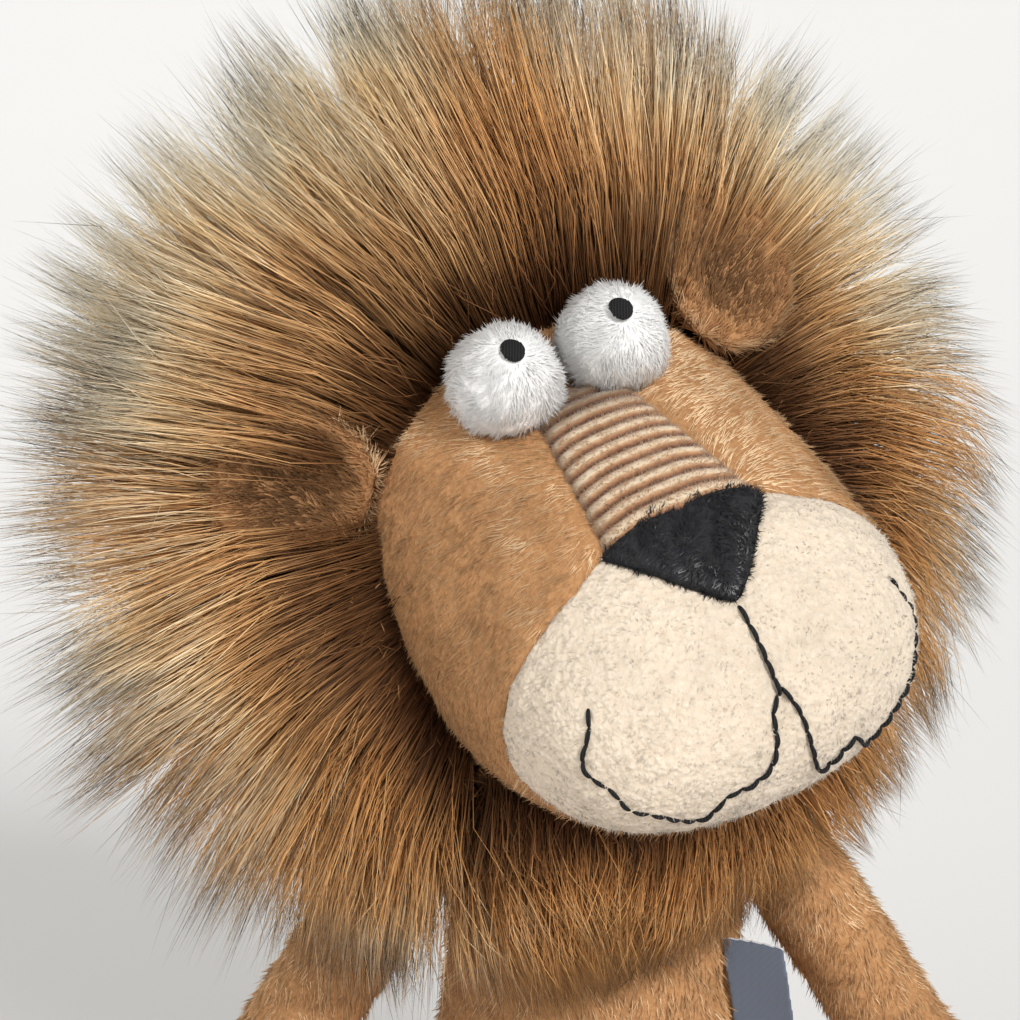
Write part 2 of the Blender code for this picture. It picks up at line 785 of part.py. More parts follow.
def torso(sockets):
    """Front and back covers, the seat panel, the wadding and the pellet bag under it."""
    form = torso_form()
    reach = TORSO_HEIGHT + TORSO_WIDTH
    gap = SEAM_GAP / 2
    front = world_block("torso_front_half", (-reach, -reach, -reach), (reach, -gap, reach))
    back = world_block("torso_back_half", (-reach, gap, -reach), (reach, reach, reach))
    seat_place = Matrix.Identity(4)
    half_width, half_depth = SEAT_PANEL_WIDTH / 2, SEAT_PANEL_DEPTH / 2
    seat_height = 4 * PLUSH_WALL
    seat_in = oval_rod(half_width, half_depth, seat_height, seat_place)
    seat_in = cutter("seat_in", seat_in, None)
    seat_room = oval_rod(half_width + SEAM_GAP, half_depth + SEAM_GAP, seat_height, seat_place)
    seat_room = cutter("seat_room", seat_room, None)
    wall = PLUSH_WALL
    for name, half in (("torso_front", front), ("torso_back", back)):
        cut = [seat_room, *sockets]
        piece(name, form, TAN_PLUSH, torso_stand, wall, [half], cut)
    piece("seat_panel", form, TAN_PLUSH, torso_stand, wall, [seat_in])
    inside = grown(form, -(PLUSH_WALL + FIT_GAP))
    split = PLUSH_WALL + FIT_GAP + BEAN_BAG_HEIGHT
    upper = world_block("filling_part", (-reach, -reach, split + SEAM_GAP), (reach, reach, reach))
    lower = world_block("pellet_part", (-reach, -reach, -reach), (reach, reach, split))
    piece("torso_filling", inside, WADDING, torso_stand, within=[upper], without=sockets)
    piece("pellet_bag", inside, PELLET_BAG, torso_stand, within=[lower], without=sockets)


def neck():
    """The stuffed neck: an open-ended cover round its wadding."""
    rings = []
    open_turn = math.asin(STUFFING_OPENING / NECK_RADIUS)
    steps = 6
    for i in range(steps + 1):
        turn = open_turn + (math.pi - 2 * open_turn) * i / steps
        centre = Z_AXIS * NECK_RADIUS * math.cos(turn)
        radius = NECK_RADIUS * math.sin(turn)
        rings.append(section(centre, X_AXIS, Y_AXIS, radius, radius, NECK_SIDES))
    tips = [Z_AXIS * NECK_RADIUS], [-Z_AXIS * NECK_RADIUS]
    piece("neck_cover", loft(rings), TAN_PLUSH, neck_stand, PLUSH_WALL)
    whole = loft([tips[0], *rings, tips[1]])
    stuffing = grown(whole, -(PLUSH_WALL + FIT_GAP))
    piece("neck_filling", stuffing, WADDING, neck_stand)


def root_rings(radius, along, across, up):
    """The ball end of a limb, from its stuffing opening to where the limb leaves it."""
    rings = []
    open_turn = math.asin(STUFFING_OPENING / radius)
    steps = 4
    last = math.radians(125)
    for i in range(steps + 1):
        turn = open_turn + (last - open_turn) * i / steps
        centre = -along * radius * math.cos(turn)
        size = radius * math.sin(turn)
        rings.append(section(centre, across, up, size, size, LIMB_SIDES))
    return rings


def limb(name, rings, tip, back_tip, carrier, cloth_cuts=(), filling_cuts=()):
    """A cover, open at the root where it is stuffed, and its wadding."""
    cover = loft([*rings, [tip]])
    form = loft([[back_tip], *rings, [tip]])
    piece(name + "_cover", cover, TAN_PLUSH, carrier, PLUSH_WALL, without=cloth_cuts)
    inside = grown(form, -(PLUSH_WALL + FIT_GAP))
    piece(name + "_filling", inside, WADDING, carrier, without=filling_cuts)
    return cover


def arm(side, sign):
    place = Vector((sign * SHOULDER_ASIDE, 0, SHOULDER_HEIGHT))
    carrier = stand("arm_stand_" + side, place)
    level = math.cos(ARM_SPREAD)
    along = Vector(
        (
            sign * math.sin(ARM_SPREAD),
            -level * math.sin(ARM_FORWARD),
            -level * math.cos(ARM_FORWARD),
        )
    )
    across = along.cross(Y_AXIS).normalized()
    up = across.cross(along).normalized()
    rings = root_rings(ARM_ROOT_RADIUS, along, across, up)
    sizes = [(share, size * ARM_ROOT_RADIUS) for share, size in ARM_SECTION_SHARES]
    sizes += [(share, size * PAW_RADIUS) for share, size in PAW_SECTION_SHARES]
    for share, size in sizes:
        rings.append(section(along * share * ARM_LENGTH, across, up, size, size, LIMB_SIDES))
    tips = along * ARM_LENGTH, -along * ARM_ROOT_RADIUS
    limb("arm_" + side, rings, *tips, carrier)
    return cutter("shoulder_socket_" + side, socket(ARM_ROOT_RADIUS, place, LIMB_SIDES), None)


def leg(side, sign, floor):
    height = LEG_ROOT_RADIUS - FLOOR_FLAT
    place = Vector((sign * HIP_ASIDE, -HIP_FORWARD, height))
    carrier = stand("leg_stand_" + side, place)
    along = Vector((sign * math.sin(LEG_SPREAD), -math.cos(LEG_SPREAD), 0))
    across = along.cross(Z_AXIS).normalized()
    rings = root_rings(LEG_ROOT_RADIUS, along, across, Z_AXIS)
    for share, size in LEG_SECTION_SHARES:
        radius = size * LEG_ROOT_RADIUS
        centre = along * share * LEG_LENGTH
        rings.append(section(centre, across, Z_AXIS, radius, radius, LIMB_SIDES))
    for share, rise, lean, width, depth in FOOT_SECTION_SHARES:
        centre = along * share * LEG_LENGTH + Z_AXIS * (rise * FOOT_HEIGHT - height)
        lean = math.radians(lean)
        up = Z_AXIS * math.cos(lean) - along * math.sin(lean)
        half = width * FOOT_WIDTH / 2
        rings.append(section(centre, across, up, half, depth * FOOT_HEIGHT, LIMB_SIDES))
    toe = along * LEG_LENGTH + Z_AXIS * (FOOT_HEIGHT - height)
    sole_middle = along * (LEG_LENGTH + SOLE_HEIGHT / 2)
    sole_middle += Z_AXIS * (FOOT_HEIGHT * 0.56 - height)
    lie = Matrix((across, Z_AXIS, across.cross(Z_AXIS))).transposed().to_4x4()
    sole_place = Matrix.Translation(sole_middle) @ lie
    sizes = SOLE_WIDTH / 2, SOLE_HEIGHT / 2
    sole_in = oval_rod(*sizes, SOLE_HEIGHT, sole_place, SOLE_SIDES)
    sole_in = cutter("sole_in_" + side, sole_in, carrier)
    sizes = [size + SEAM_GAP for size in sizes]
    sole_room = oval_rod(*sizes, SOLE_HEIGHT, sole_place, SOLE_SIDES)
    sole_room = cutter("sole_room_" + side, sole_room, carrier)
    back_tip = -along * LEG_ROOT_RADIUS
    name = "leg_" + side
    cover = limb(name, rings, toe, back_tip, carrier, [sole_room, floor], [floor])
    piece("sole_" + side, cover, CREAM_TERRY, carrier, PLUSH_WALL, [sole_in], [floor])
    return cutter("hip_socket_" + side, socket(LEG_ROOT_RADIUS, place, LIMB_SIDES), None)


def tail_rings(shares, radius, locks=None, count=LIMB_SIDES):
    """Sections along the tail's curve, each square to the way it runs."""
    root = Vector((0, TAIL_BEHIND, TAIL_ROOT_HEIGHT))
    points = []
    for aside, behind, rise, size in shares:
        place = Vector((aside * TAIL_ASIDE, TAIL_BEHIND + behind * TAIL_REACH, 0))
        place.z = rise * TAIL_ROOT_HEIGHT
        points.append((place - root, size))
    rings = []
    for i, (centre, size) in enumerate(points):
        before = points[i - 1][0] if i else Vector()
        after = points[min(i + 1, len(points) - 1)][0]
        run = (after - before).normalized()
        across = run.cross(Z_AXIS).normalized()
        up = across.cross(run).normalized()
        half = size * radius
        rings.append(section(centre, across, up, half, half, count, locks=locks))
    return rings


def tail(floor):
    place = Vector((0, TAIL_BEHIND, TAIL_ROOT_HEIGHT))
    carrier = stand("tail_stand", place)
    rings = root_rings(TAIL_ROOT_RADIUS, Y_AXIS, X_AXIS, Z_AXIS)
    run = tail_rings(TAIL_SECTION_SHARES, TAIL_RADIUS)
    end = sum(run[-1], Vector()) / len(run[-1])
    before = sum(run[-2], Vector()) / len(run[-2])
    tip = end + (end - before) * 0.5
    rings += run
    limb("tail", rings, tip, -Y_AXIS * TAIL_ROOT_RADIUS, carrier, [floor], [floor])
    whole = loft([[-Y_AXIS * TAIL_ROOT_RADIUS], *rings, [tip]])
    tail_room = cutter("tail_room", grown(whole, FIT_GAP), carrier)
    count = 2 * TUFT_LOCKS
    locks = tail_rings(TUFT_SECTION_SHARES, TUFT_RADIUS, lambda i: 1 - 0.16 * (i % 2), count)
    first = sum(locks[0], Vector()) / count
    last = sum(locks[-1], Vector()) / count
    before = sum(locks[-2], Vector()) / count
    tuft = loft([[first], *locks, [last + (last - before) * 0.6]])
    piece("tail_tuft", tuft, MANE_FUR, carrier, without=[tail_room, floor])
    return cutter("tail_socket", socket(TAIL_ROOT_RADIUS, place, LIMB_SIDES), None)


def side_label():
    """A blank folded ribbon whose head is caught in the torso's left side seam."""
    surface = BVHTree.FromBMesh(torso_form())
    forward = LABEL_FORWARD_SHARE * TORSO_DEPTH / 2

    def seam(height):
        start = Vector((TORSO_WIDTH, -forward, height))
        return surface.ray_cast(start, -X_AXIS)[0]

    middle = seam(LABEL_MIDDLE_HEIGHT)
    rise = seam(LABEL_MIDDLE_HEIGHT + LABEL_LENGTH / 2) - seam(
        LABEL_MIDDLE_HEIGHT - LABEL_LENGTH / 2
    )
    lean = math.atan2(rise.x, rise.z)
    carrier = stand("label_stand", middle + X_AXIS * LABEL_STAND_OFF, (0, lean, LABEL_TURN))
    for name, ribbon, layer in (
        ("label_front", GREY_RIBBON, 0),
        ("label_back", WHITE_RIBBON, 1),
    ):
        near = layer * (LABEL_THICKNESS + SEAM_GAP)
        low = (0, near, -LABEL_LENGTH / 2)
        high = (LABEL_WIDTH, near + LABEL_THICKNESS, LABEL_LENGTH / 2)
        piece(name, block(low, high), ribbon, carrier)


def build():
    reach = TORSO_WIDTH * 4
    floor = world_block("floor_cut", (-reach, -reach, -CUT_OVERRUN), (reach, reach, 0))
    sockets = [cutter("neck_socket", socket(NECK_RADIUS, NECK_CENTRE, NECK_SIDES), None)]
    for side, sign in SIDES.items():
        sockets.append(arm(side, sign))
        sockets.append(leg(side, sign, floor))
    sockets.append(tail(floor))
    torso(sockets)
    neck()
    head_covers(stitches())
    rooms = eyes() + ears()
    mane(rooms)
    side_label()


build()
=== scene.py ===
import math

import bmesh
import bpy
import numpy as np
from mathutils import Euler, Matrix, Vector
from mathutils.bvhtree import BVHTree
from mathutils.kdtree import KDTree


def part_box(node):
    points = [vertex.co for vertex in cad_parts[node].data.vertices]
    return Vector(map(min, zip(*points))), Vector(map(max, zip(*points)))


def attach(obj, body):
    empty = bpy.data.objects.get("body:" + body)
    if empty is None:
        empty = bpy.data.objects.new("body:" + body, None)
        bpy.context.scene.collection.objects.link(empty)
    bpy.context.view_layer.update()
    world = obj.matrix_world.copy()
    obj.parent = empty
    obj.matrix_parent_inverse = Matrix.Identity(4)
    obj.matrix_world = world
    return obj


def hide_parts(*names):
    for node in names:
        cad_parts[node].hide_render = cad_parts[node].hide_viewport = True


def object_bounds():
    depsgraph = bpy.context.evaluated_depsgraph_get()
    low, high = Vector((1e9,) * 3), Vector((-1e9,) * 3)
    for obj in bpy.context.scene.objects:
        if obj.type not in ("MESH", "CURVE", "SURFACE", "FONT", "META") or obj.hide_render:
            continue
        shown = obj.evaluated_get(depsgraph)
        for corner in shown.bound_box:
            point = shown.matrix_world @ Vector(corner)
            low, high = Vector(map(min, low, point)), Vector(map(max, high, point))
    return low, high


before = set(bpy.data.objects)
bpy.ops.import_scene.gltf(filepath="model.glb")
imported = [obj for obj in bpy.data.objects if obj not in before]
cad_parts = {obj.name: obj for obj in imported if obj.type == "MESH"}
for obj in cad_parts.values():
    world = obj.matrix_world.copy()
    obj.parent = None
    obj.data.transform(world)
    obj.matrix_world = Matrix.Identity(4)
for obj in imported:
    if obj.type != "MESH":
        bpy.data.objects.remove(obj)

cad_box = [list(corner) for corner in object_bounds()]

MM = 0.001

# The lion's own sizes, in millimetres where nothing else is said
NECK_CENTRE = Vector((4, 0, 178)) * MM
HEAD_LEAN = Euler((math.radians(-6.5), math.radians(-16.6), math.radians(24.0)))
HEAD_WIDTH = 124
HEAD_LENGTH = 167
HEAD_HEIGHT = 133
HEAD_BEHIND_NECK = 46
HEAD_BELOW_NECK = 5
HAIRLINE = -31
SEAM_DEPTH = 0.9
SEAM_SPREAD = 1.5

EYE_RADIUS = 15.4
EYE_PLACE = (15.81, -49.5, 114.0)
PUPIL_RISE = math.radians(38)
PUPIL_WIDTH = 5.6
PUPIL_HEIGHT = 6.8
EAR_REACH = 21

BRIDGE_TOP = 0.585
BRIDGE_FOOT = 0.84
BRIDGE_TOP_WIDTH = 25
BRIDGE_FOOT_WIDTH = 43
BRIDGE_RIBS = 11
RIB_HEIGHT = 1.0
BRIDGE_CROWN = 2.0

THREAD_RADIUS = 0.58
STITCH_LENGTH = 4.4
CENTRE_THREAD = [(0, 0.445), (0, 0.38), (0, 0.33), (0, 0.28)]
MOUTH_START = {
    "left": [
        (0.015, 0.29), (0.055, 0.235), (0.075, 0.165), (0.105, 0.105), (0.15, 0.09), (0.22, 0.105),
    ],
    "right": [(0.015, 0.28), (0.055, 0.25), (0.07, 0.20), (0.11, 0.155), (0.19, 0.135)],
}
MOUTH_THREAD = [
    (0.30, 0.125), (0.375, 0.09), (0.47, 0.105), (0.58, 0.14), (0.66, 0.165), (0.705, 0.21),
    (0.76, 0.25), (0.765, 0.285), (0.72, 0.33), (0.69, 0.372),
]

MANE_MIDDLE = 81
MANE_FRONT = -35.8
MANE_LENGTH = 130
MANE_RADIUS = 148
MANE_FORWARD = 26
# The mane's outline from its front face to its back: share of its length, share of its radius
MANE_OUTLINE = np.array([
    (0, 0.23), (0.015, 0.54), (0.077, 0.80), (0.17, 0.945), (0.246, 1.0), (0.37, 0.93),
    (0.54, 0.85), (0.69, 0.69), (0.846, 0.50), (0.938, 0.29), (0.985, 0.10), (1.0, 0.0),
])
# Each panel's first and last angle from the top, whether it is kept to the front or the back,
# and how many long and short hairs it has
MANE_PANELS = {
    "mane_crown_left": (0, 72, 0, 6700, 4900),
    "mane_crown_right": (288, 360, 0, 6900, 4900),
    "mane_side_left": (72, 168, 0, 6700, 4700),
    "mane_side_right": (222, 288, 0, 6800, 4800),
    "mane_bib": (168, 222, -1, 4800, 3800),
    "mane_nape": (168, 222, 1, 2600, 2100),
}
# How much of the fur is cream at angles from the top, the rest tan: partly the fur's own cream and tan
# locks, partly painted light, with paler fur at the top where the back light catches it and darker fur at
# the bottom in shade
MANE_CREAM_AND_LIGHT = np.array([
    (0, 0.62), (14, 0.36), (30, 0.52), (62, 0.76), (95, 0.56), (130, 0.26), (180, 0.16),
    (225, 0.26), (262, 0.46), (290, 0.42), (318, 0.74), (345, 0.84), (360, 0.62),
])
HAIR_SHARES = np.array([0, 0.36, 0.7, 1.0])
# How far the longest hairs may stand out of the solid mane
MANE_PROUD = 16
# The angles beside each ear in which the fur grows behind it
EAR_WINDOWS = {"left": (-12, 15), "right": (-10, 7)}
EAR_HAIRS = 850

SHOULDER = (50, 0, 148)
ARM_LENGTH = 152
ARM_ROOM = 22
ARM_SPREAD = math.radians(33)
ARM_FORWARD = math.radians(12)
# The torso's half width and half depth at rising heights
TORSO_HEIGHTS = [0, 6, 24, 51, 82, 115, 138, 153, 164, 171]
TORSO_HALF_WIDTHS = [43, 53, 58, 55, 48, 43, 42, 37, 24, 10]
TORSO_HALF_DEPTHS = [37, 45, 48, 46, 42, 37, 34, 27, 18, 8]

HEAD_TURN = np.array(HEAD_LEAN.to_matrix())
HEAD_STAND = Matrix.Translation(NECK_CENTRE) @ HEAD_LEAN.to_matrix().to_4x4()
WORLD_DOWN = np.array((0.0, 0.0, -1.0))


def to_world(places):
    """Places in the head's own millimetres, as places in the scene."""
    return np.asarray(places, float) * MM @ HEAD_TURN.T + np.array(NECK_CENTRE)


def to_head(places):
    """Places in the scene, in the head's own millimetres."""
    return (np.asarray(places, float) - np.array(NECK_CENTRE)) @ HEAD_TURN / MM


def unit(ways):
    length = np.linalg.norm(ways, axis=-1, keepdims=True)
    return ways / np.maximum(length, 1e-12)


def drift(places, size, seed):
    """A smooth random push at each place, the same for places that lie close together."""
    rng = np.random.default_rng(seed)
    push = np.zeros((len(places), 3))
    for _ in range(7):
        wave = unit(rng.normal(size=3)) / size * rng.uniform(0.6, 1.7) * 2
        push += np.sin(places @ wave[:, None] + rng.uniform(0, 6.3)) * unit(rng.normal(size=3))
    return push / 2.2


# Making pieces


def alone(piece):
    bpy.ops.object.select_all(action="DESELECT")
    piece.select_set(True)
    bpy.context.view_layer.objects.active = piece


def shaped(piece, kind, **settings):
    """Gives a piece one modifier with its settings and applies it."""
    modifier = piece.modifiers.new(kind.lower(), kind)
    for name, value in settings.items():
        setattr(modifier, name, value)
    alone(piece)
    bpy.ops.object.modifier_apply(modifier=modifier.name)
    return piece


def linked(name, mesh):
    piece = bpy.data.objects.new(name, mesh)
    bpy.context.scene.collection.objects.link(piece)
    return piece


def woven_mesh(name, places, faces, tones=None, along=None, facing=None):
    """A piece from its corners and faces, with a pattern map of tone across and share along."""
    mesh = bpy.data.meshes.new(name)
    faces = np.ascontiguousarray(faces, np.int32)
    mesh.vertices.add(len(places))
    mesh.vertices.foreach_set("co", np.ascontiguousarray(places, np.float32).ravel())
    mesh.loops.add(faces.size)
    mesh.loops.foreach_set("vertex_index", faces.ravel())
    mesh.polygons.add(len(faces))
    mesh.polygons.foreach_set("loop_start", np.arange(0, faces.size, faces.shape[1], dtype=np.int32))
    mesh.update(calc_edges=True)
    if tones is not None:
        pattern = mesh.uv_layers.new(name="UVMap")
        values = np.stack((tones[faces.ravel()], along[faces.ravel()]), axis=1)
        pattern.data.foreach_set("uv", values.astype(np.float32).ravel())
    mesh.shade_smooth()
    if facing is not None:
        mesh.normals_split_custom_set_from_vertices(facing)
    return linked(name, mesh)


def corners_of(piece):
    places = np.empty(len(piece.data.vertices) * 3)
    piece.data.vertices.foreach_get("co", places)
    return places.reshape(-1, 3)


def normals_of(piece):
    ways = np.empty(len(piece.data.vertices) * 3)
    piece.data.vertices.foreach_get("normal", ways)
    return ways.reshape(-1, 3)


def move_corners(piece, places):
    piece.data.vertices.foreach_set("co", places.ravel())
    piece.data.update()


def copy_of(name, *nodes):
    """One piece with the solids of these nodes in it, their doubled corners merged."""
    form = bmesh.new()
    for node in nodes:
        form.from_mesh(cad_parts[node].data)
    bmesh.ops.remove_doubles(form, verts=form.verts, dist=0.02 * MM)
    mesh = bpy.data.meshes.new(name)
    form.to_mesh(mesh)
    form.free()
    return linked(name, mesh)


def outer_skin(piece):
    """Keeps the largest shell of a piece, so that no hidden shell is left inside it."""
    form = bmesh.new()
    form.from_mesh(piece.data)
    left = set(form.verts)
    shells = []
    while left:
        shell = {left.pop()}
        edge = list(shell)
        while edge:
            corner = edge.pop()
            for side in corner.link_edges:
                other = side.other_vert(corner)
                if other in left:
                    left.remove(other)
                    shell.add(other)
                    edge.append(other)
        shells.append(shell)
    shells.sort(key=len)
    for shell in shells[:-1]:
        bmesh.ops.delete(form, geom=list(shell), context="VERTS")
    form.to_mesh(piece.data)
    form.free()
    return piece


def stuffed_form(name, nodes, grain, rounds):
    """The nodes grown together into one smooth stuffed form, with an even mesh."""
    piece = copy_of(name, *nodes)
    shaped(piece, "REMESH", mode="VOXEL", voxel_size=grain * MM)
    outer_skin(piece)
    shaped(piece, "SMOOTH", factor=0.5, iterations=rounds)
    piece.data.shade_smooth()
    return piece


def tree_of(piece):
    return BVHTree.FromObject(piece, bpy.context.evaluated_depsgraph_get())


def node_tree(*nodes):
    form = bmesh.new()
    for node in nodes:
        form.from_mesh(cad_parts[node].data)
    tree = BVHTree.FromBMesh(form)
    form.free()
    return tree


def distances(tree, places):
    return np.array([tree.find_nearest(Vector(place))[3] for place in places]) / MM


def scatter(piece, count, rng, wanted=None):
    """Places spread evenly over a piece, with the way that its surface faces there."""
    mesh = piece.data
    mesh.calc_loop_triangles()
    faces = np.empty(len(mesh.loop_triangles) * 3, np.int32)
    mesh.loop_triangles.foreach_get("vertices", faces)
    faces = faces.reshape(-1, 3)
    corners, ways = corners_of(piece), normals_of(piece)
    if wanted is not None:
        faces = faces[wanted(corners[faces].mean(axis=1))]
    a, b, c = (corners[faces[:, i]] for i in range(3))
    area = np.linalg.norm(np.cross(b - a, c - a), axis=1)
    pick = rng.choice(len(faces), size=count, p=area / area.sum())
    u, v = rng.random(count), rng.random(count)
    over = u + v > 1
    u[over], v[over] = 1 - u[over], 1 - v[over]
    w = 1 - u - v
    chosen = faces[pick]
    places = corners[chosen[:, 0]] * w[:, None] + corners[chosen[:, 1]] * u[:, None]
    places += corners[chosen[:, 2]] * v[:, None]
    normals = ways[chosen[:, 0]] * w[:, None] + ways[chosen[:, 1]] * u[:, None]
    normals += ways[chosen[:, 2]] * v[:, None]
    return places, unit(normals)


def pile(
    name, ground, count, length, width, comb, seed, lean=0.6, ruffle=0.25, wanted=None, shade=None,
    tip=1.0,
):
    """Short pile over a piece: one tapered fibre a place, combed along the cloth."""
    rng = np.random.default_rng(seed)
    roots, up = scatter(ground, count, rng, wanted)
    flow = comb(roots) + drift(roots, 14 * MM, seed + 1) * 0.35
    flow = unit(flow - up * (flow * up).sum(axis=1, keepdims=True))
    bunch = drift(roots, 2.2 * MM, seed + 2)
    way = unit(up * (1 - lean) + flow * lean + bunch * ruffle + rng.normal(size=up.shape) * ruffle / 2)
    reach = length * MM * rng.uniform(0.6, 1.15, count)
    side = unit(np.cross(way, rng.normal(size=up.shape)))
    other = np.cross(way, side)
    half = width * MM / 2
    places = np.empty((count, 4, 3))
    for i in range(3):
        turn = i * math.tau / 3
        places[:, i] = roots - up * half + (side * math.cos(turn) + other * math.sin(turn)) * half
    places[:, 3] = roots + way * reach[:, None]
    places[..., 2] = np.maximum(places[..., 2], 0.2 * MM)
    first = np.arange(count)[:, None, None] * 4
    pattern = np.array([(0, 1, 3), (1, 2, 3), (2, 0, 3), (0, 2, 1)])
    faces = (first + pattern[None]).reshape(-1, 3)
    locks = 0.5 + bunch[:, 0] * 0.12 + drift(roots, 9 * MM, seed + 3)[:, 0] * 0.16
    each = 0.25
    if shade is not None:
        locks, each = shade(roots), 0.13
    tones = np.repeat(np.clip(locks + rng.uniform(-each, each, count), 0.01, 0.99), 4)
    along = np.tile([0.0, 0, 0, tip], count)
    facing = np.repeat(unit(up + way * 0.4), 4, axis=0)
    return woven_mesh(name, places.reshape(-1, 3), faces, tones, along, facing)


def rods(lines, radii, tones, along, rng):
    """Long hairs: each is a thin tapered rod of three sides along its line of places."""
    count, knots = lines.shape[:2]
    run = unit(np.gradient(lines, axis=1))
    side = unit(np.cross(run, unit(rng.normal(size=(count, 1, 3)))))
    other = np.cross(run, side)
    rings = knots - 1
    each = rings * 3 + 1
    places = np.empty((count, each, 3))
    shares = np.empty((count, each))
    for ring in range(rings):
        for i in range(3):
            turn = i * math.tau / 3
            out = side[:, ring] * math.cos(turn) + other[:, ring] * math.sin(turn)
            places[:, ring * 3 + i] = lines[:, ring] + out * radii[:, ring][:, None]
            shares[:, ring * 3 + i] = along[:, ring]
    places[:, -1] = lines[:, -1]
    shares[:, -1] = along[:, -1]
    pattern = [(0, 2, 1)]
    for ring in range(rings - 1):
        for i in range(3):
            a, b = ring * 3 + i, ring * 3 + (i + 1) % 3
            pattern += [(a, b, b + 3), (a, b + 3, a + 3)]
    last = (rings - 1) * 3
    pattern += [(last + i, last + (i + 1) % 3, each - 1) for i in range(3)]
    faces = (np.arange(count)[:, None, None] * each + np.array(pattern)[None]).reshape(-1, 3)
    return places.reshape(-1, 3), faces, np.repeat(tones, each), shares.ravel()


def strands(name, *batches):
    """One piece from one or more batches of hairs."""
    starts = np.cumsum([0] + [len(batch[0]) for batch in batches[:-1]])
    places, tones, along = (np.concatenate([batch[i] for batch in batches]) for i in (0, 2, 3))
    faces = np.concatenate([batch[1] + start for batch, start in zip(batches, starts)])
    return woven_mesh(name, places, faces, tones, along)


# Finishes


def group(name, inputs, outputs):
    """An empty shader group with its sockets; returns the group, its in and its out."""
    tree = bpy.data.node_groups.new(name, "ShaderNodeTree")
    for label, kind, value in inputs:
        entry = tree.interface.new_socket(label, in_out="INPUT", socket_type=kind)
        entry.default_value = value
    for label, kind in outputs:
        tree.interface.new_socket(label, in_out="OUTPUT", socket_type=kind)
    return tree, tree.nodes.new("NodeGroupInput"), tree.nodes.new("NodeGroupOutput")


def join(tree, start, end):
    tree.links.new(start, end)


def math_node(tree, kind, a, b=None, clamp=False):
    node = tree.nodes.new("ShaderNodeMath")
    node.operation = kind
    node.use_clamp = clamp
    for i, value in enumerate((a, b)):
        if value is None:
            continue
        if isinstance(value, (int, float)):
            node.inputs[i].default_value = value
        else:
            join(tree, value, node.inputs[i])
    return node.outputs[0]


def noise(tree, size, detail=3.0, rough=0.55, stretch=(1, 1, 1)):
    """Noise in the piece's own place, with lumps of the given size in millimetres."""
    place = tree.nodes.new("ShaderNodeTexCoord")
    turn = tree.nodes.new("ShaderNodeMapping")
    turn.inputs["Scale"].default_value = stretch
    node = tree.nodes.new("ShaderNodeTexNoise")
    node.inputs["Scale"].default_value = 1 / (size * MM)
    node.inputs["Detail"].default_value = detail
    node.inputs["Roughness"].default_value = rough
    join(tree, place.outputs["Object"], turn.inputs["Vector"])
    join(tree, turn.outputs[0], node.inputs["Vector"])
    return node.outputs["Fac"]


def ramp(tree, value, stops):
    node = tree.nodes.new("ShaderNodeValToRGB")
    band = node.color_ramp
    while len(band.elements) < len(stops):
        band.elements.new(0.5)
    for element, (place, colour) in zip(band.elements, stops):
        element.position = place
        element.color = (*colour, 1) if len(colour) == 3 else colour
    join(tree, value, node.inputs["Fac"])
    return node.outputs["Color"]


def mixed(tree, share, a, b, blend="MIX"):
    node = tree.nodes.new("ShaderNodeMix")
    node.data_type = "RGBA"
    node.blend_type = blend
    for value, socket in ((share, node.inputs[0]), (a, node.inputs[6]), (b, node.inputs[7])):
        if isinstance(value, tuple):
            socket.default_value = (*value, 1)
        elif isinstance(value, (int, float)):
            socket.default_value = value
        else:
            join(tree, value, socket)
    return node.outputs[2]


def fibre_facts():
    """Group: what a fibre's pattern map says, its own tone and how far along it a point is."""
    tree, _, out = group(
        "fibre_facts", [], [("Tone", "NodeSocketFloat"), ("Along", "NodeSocketFloat")]
    )
    pattern = tree.nodes.new("ShaderNodeUVMap")
    split = tree.nodes.new("ShaderNodeSeparateXYZ")
    join(tree, pattern.outputs["UV"], split.inputs[0])
    join(tree, split.outputs["X"], out.inputs["Tone"])
    join(tree, split.outputs["Y"], out.inputs["Along"])
    return tree


def tone_and_sheen_patches():
    """Group: random light and dark patches, partly the cloth's own tone and partly painted sheen where the
    pile was stroked one way or the other.
    """
    tree, entry, out = group(
        "tone_and_sheen_patches",
        [("Strength", "NodeSocketFloat", 0.25)],
        [("Shade", "NodeSocketFloat")],
    )
    broad = noise(tree, 22, 2)
    fine = noise(tree, 3.5, 3)
    both = math_node(tree, "ADD", math_node(tree, "MULTIPLY", broad, 1.3), fine)
    centred = math_node(tree, "SUBTRACT", both, 1.15)
    spread = math_node(tree, "MULTIPLY", centred, entry.outputs["Strength"])
    shade = math_node(tree, "ADD", spread, 1.0)
    join(tree, shade, out.inputs["Shade"])
    return tree


def loop_grain():
    """Group: the small curled loops of a terry cloth, as a height and a shade between them."""
    tree, entry, out = group(
        "loop_grain",
        [("Size", "NodeSocketFloat", 600.0)],
        [("Height", "NodeSocketFloat"), ("Gap", "NodeSocketFloat")],
    )
    place = tree.nodes.new("ShaderNodeTexCoord")
    cells = tree.nodes.new("ShaderNodeTexVoronoi")
    cells.feature = "SMOOTH_F1"
    cells.inputs["Smoothness"].default_value = 0.6
    join(tree, place.outputs["Object"], cells.inputs["Vector"])
    join(tree, entry.outputs["Size"], cells.inputs["Scale"])
    lumps = math_node(tree, "SUBTRACT", 1.0, cells.outputs["Distance"])
    curl = noise(tree, 0.7, 2)
    height = math_node(tree, "ADD", lumps, math_node(tree, "MULTIPLY", curl, 0.5))
    gap = math_node(tree, "POWER", math_node(tree, "MULTIPLY", lumps, 1.05, True), 1.6)
    join(tree, height, out.inputs["Height"])
    join(tree, gap, out.inputs["Gap"])
    return tree


FIBRE_FACTS = fibre_facts()
TONE_AND_SHEEN = tone_and_sheen_patches()
LOOPS = loop_grain()


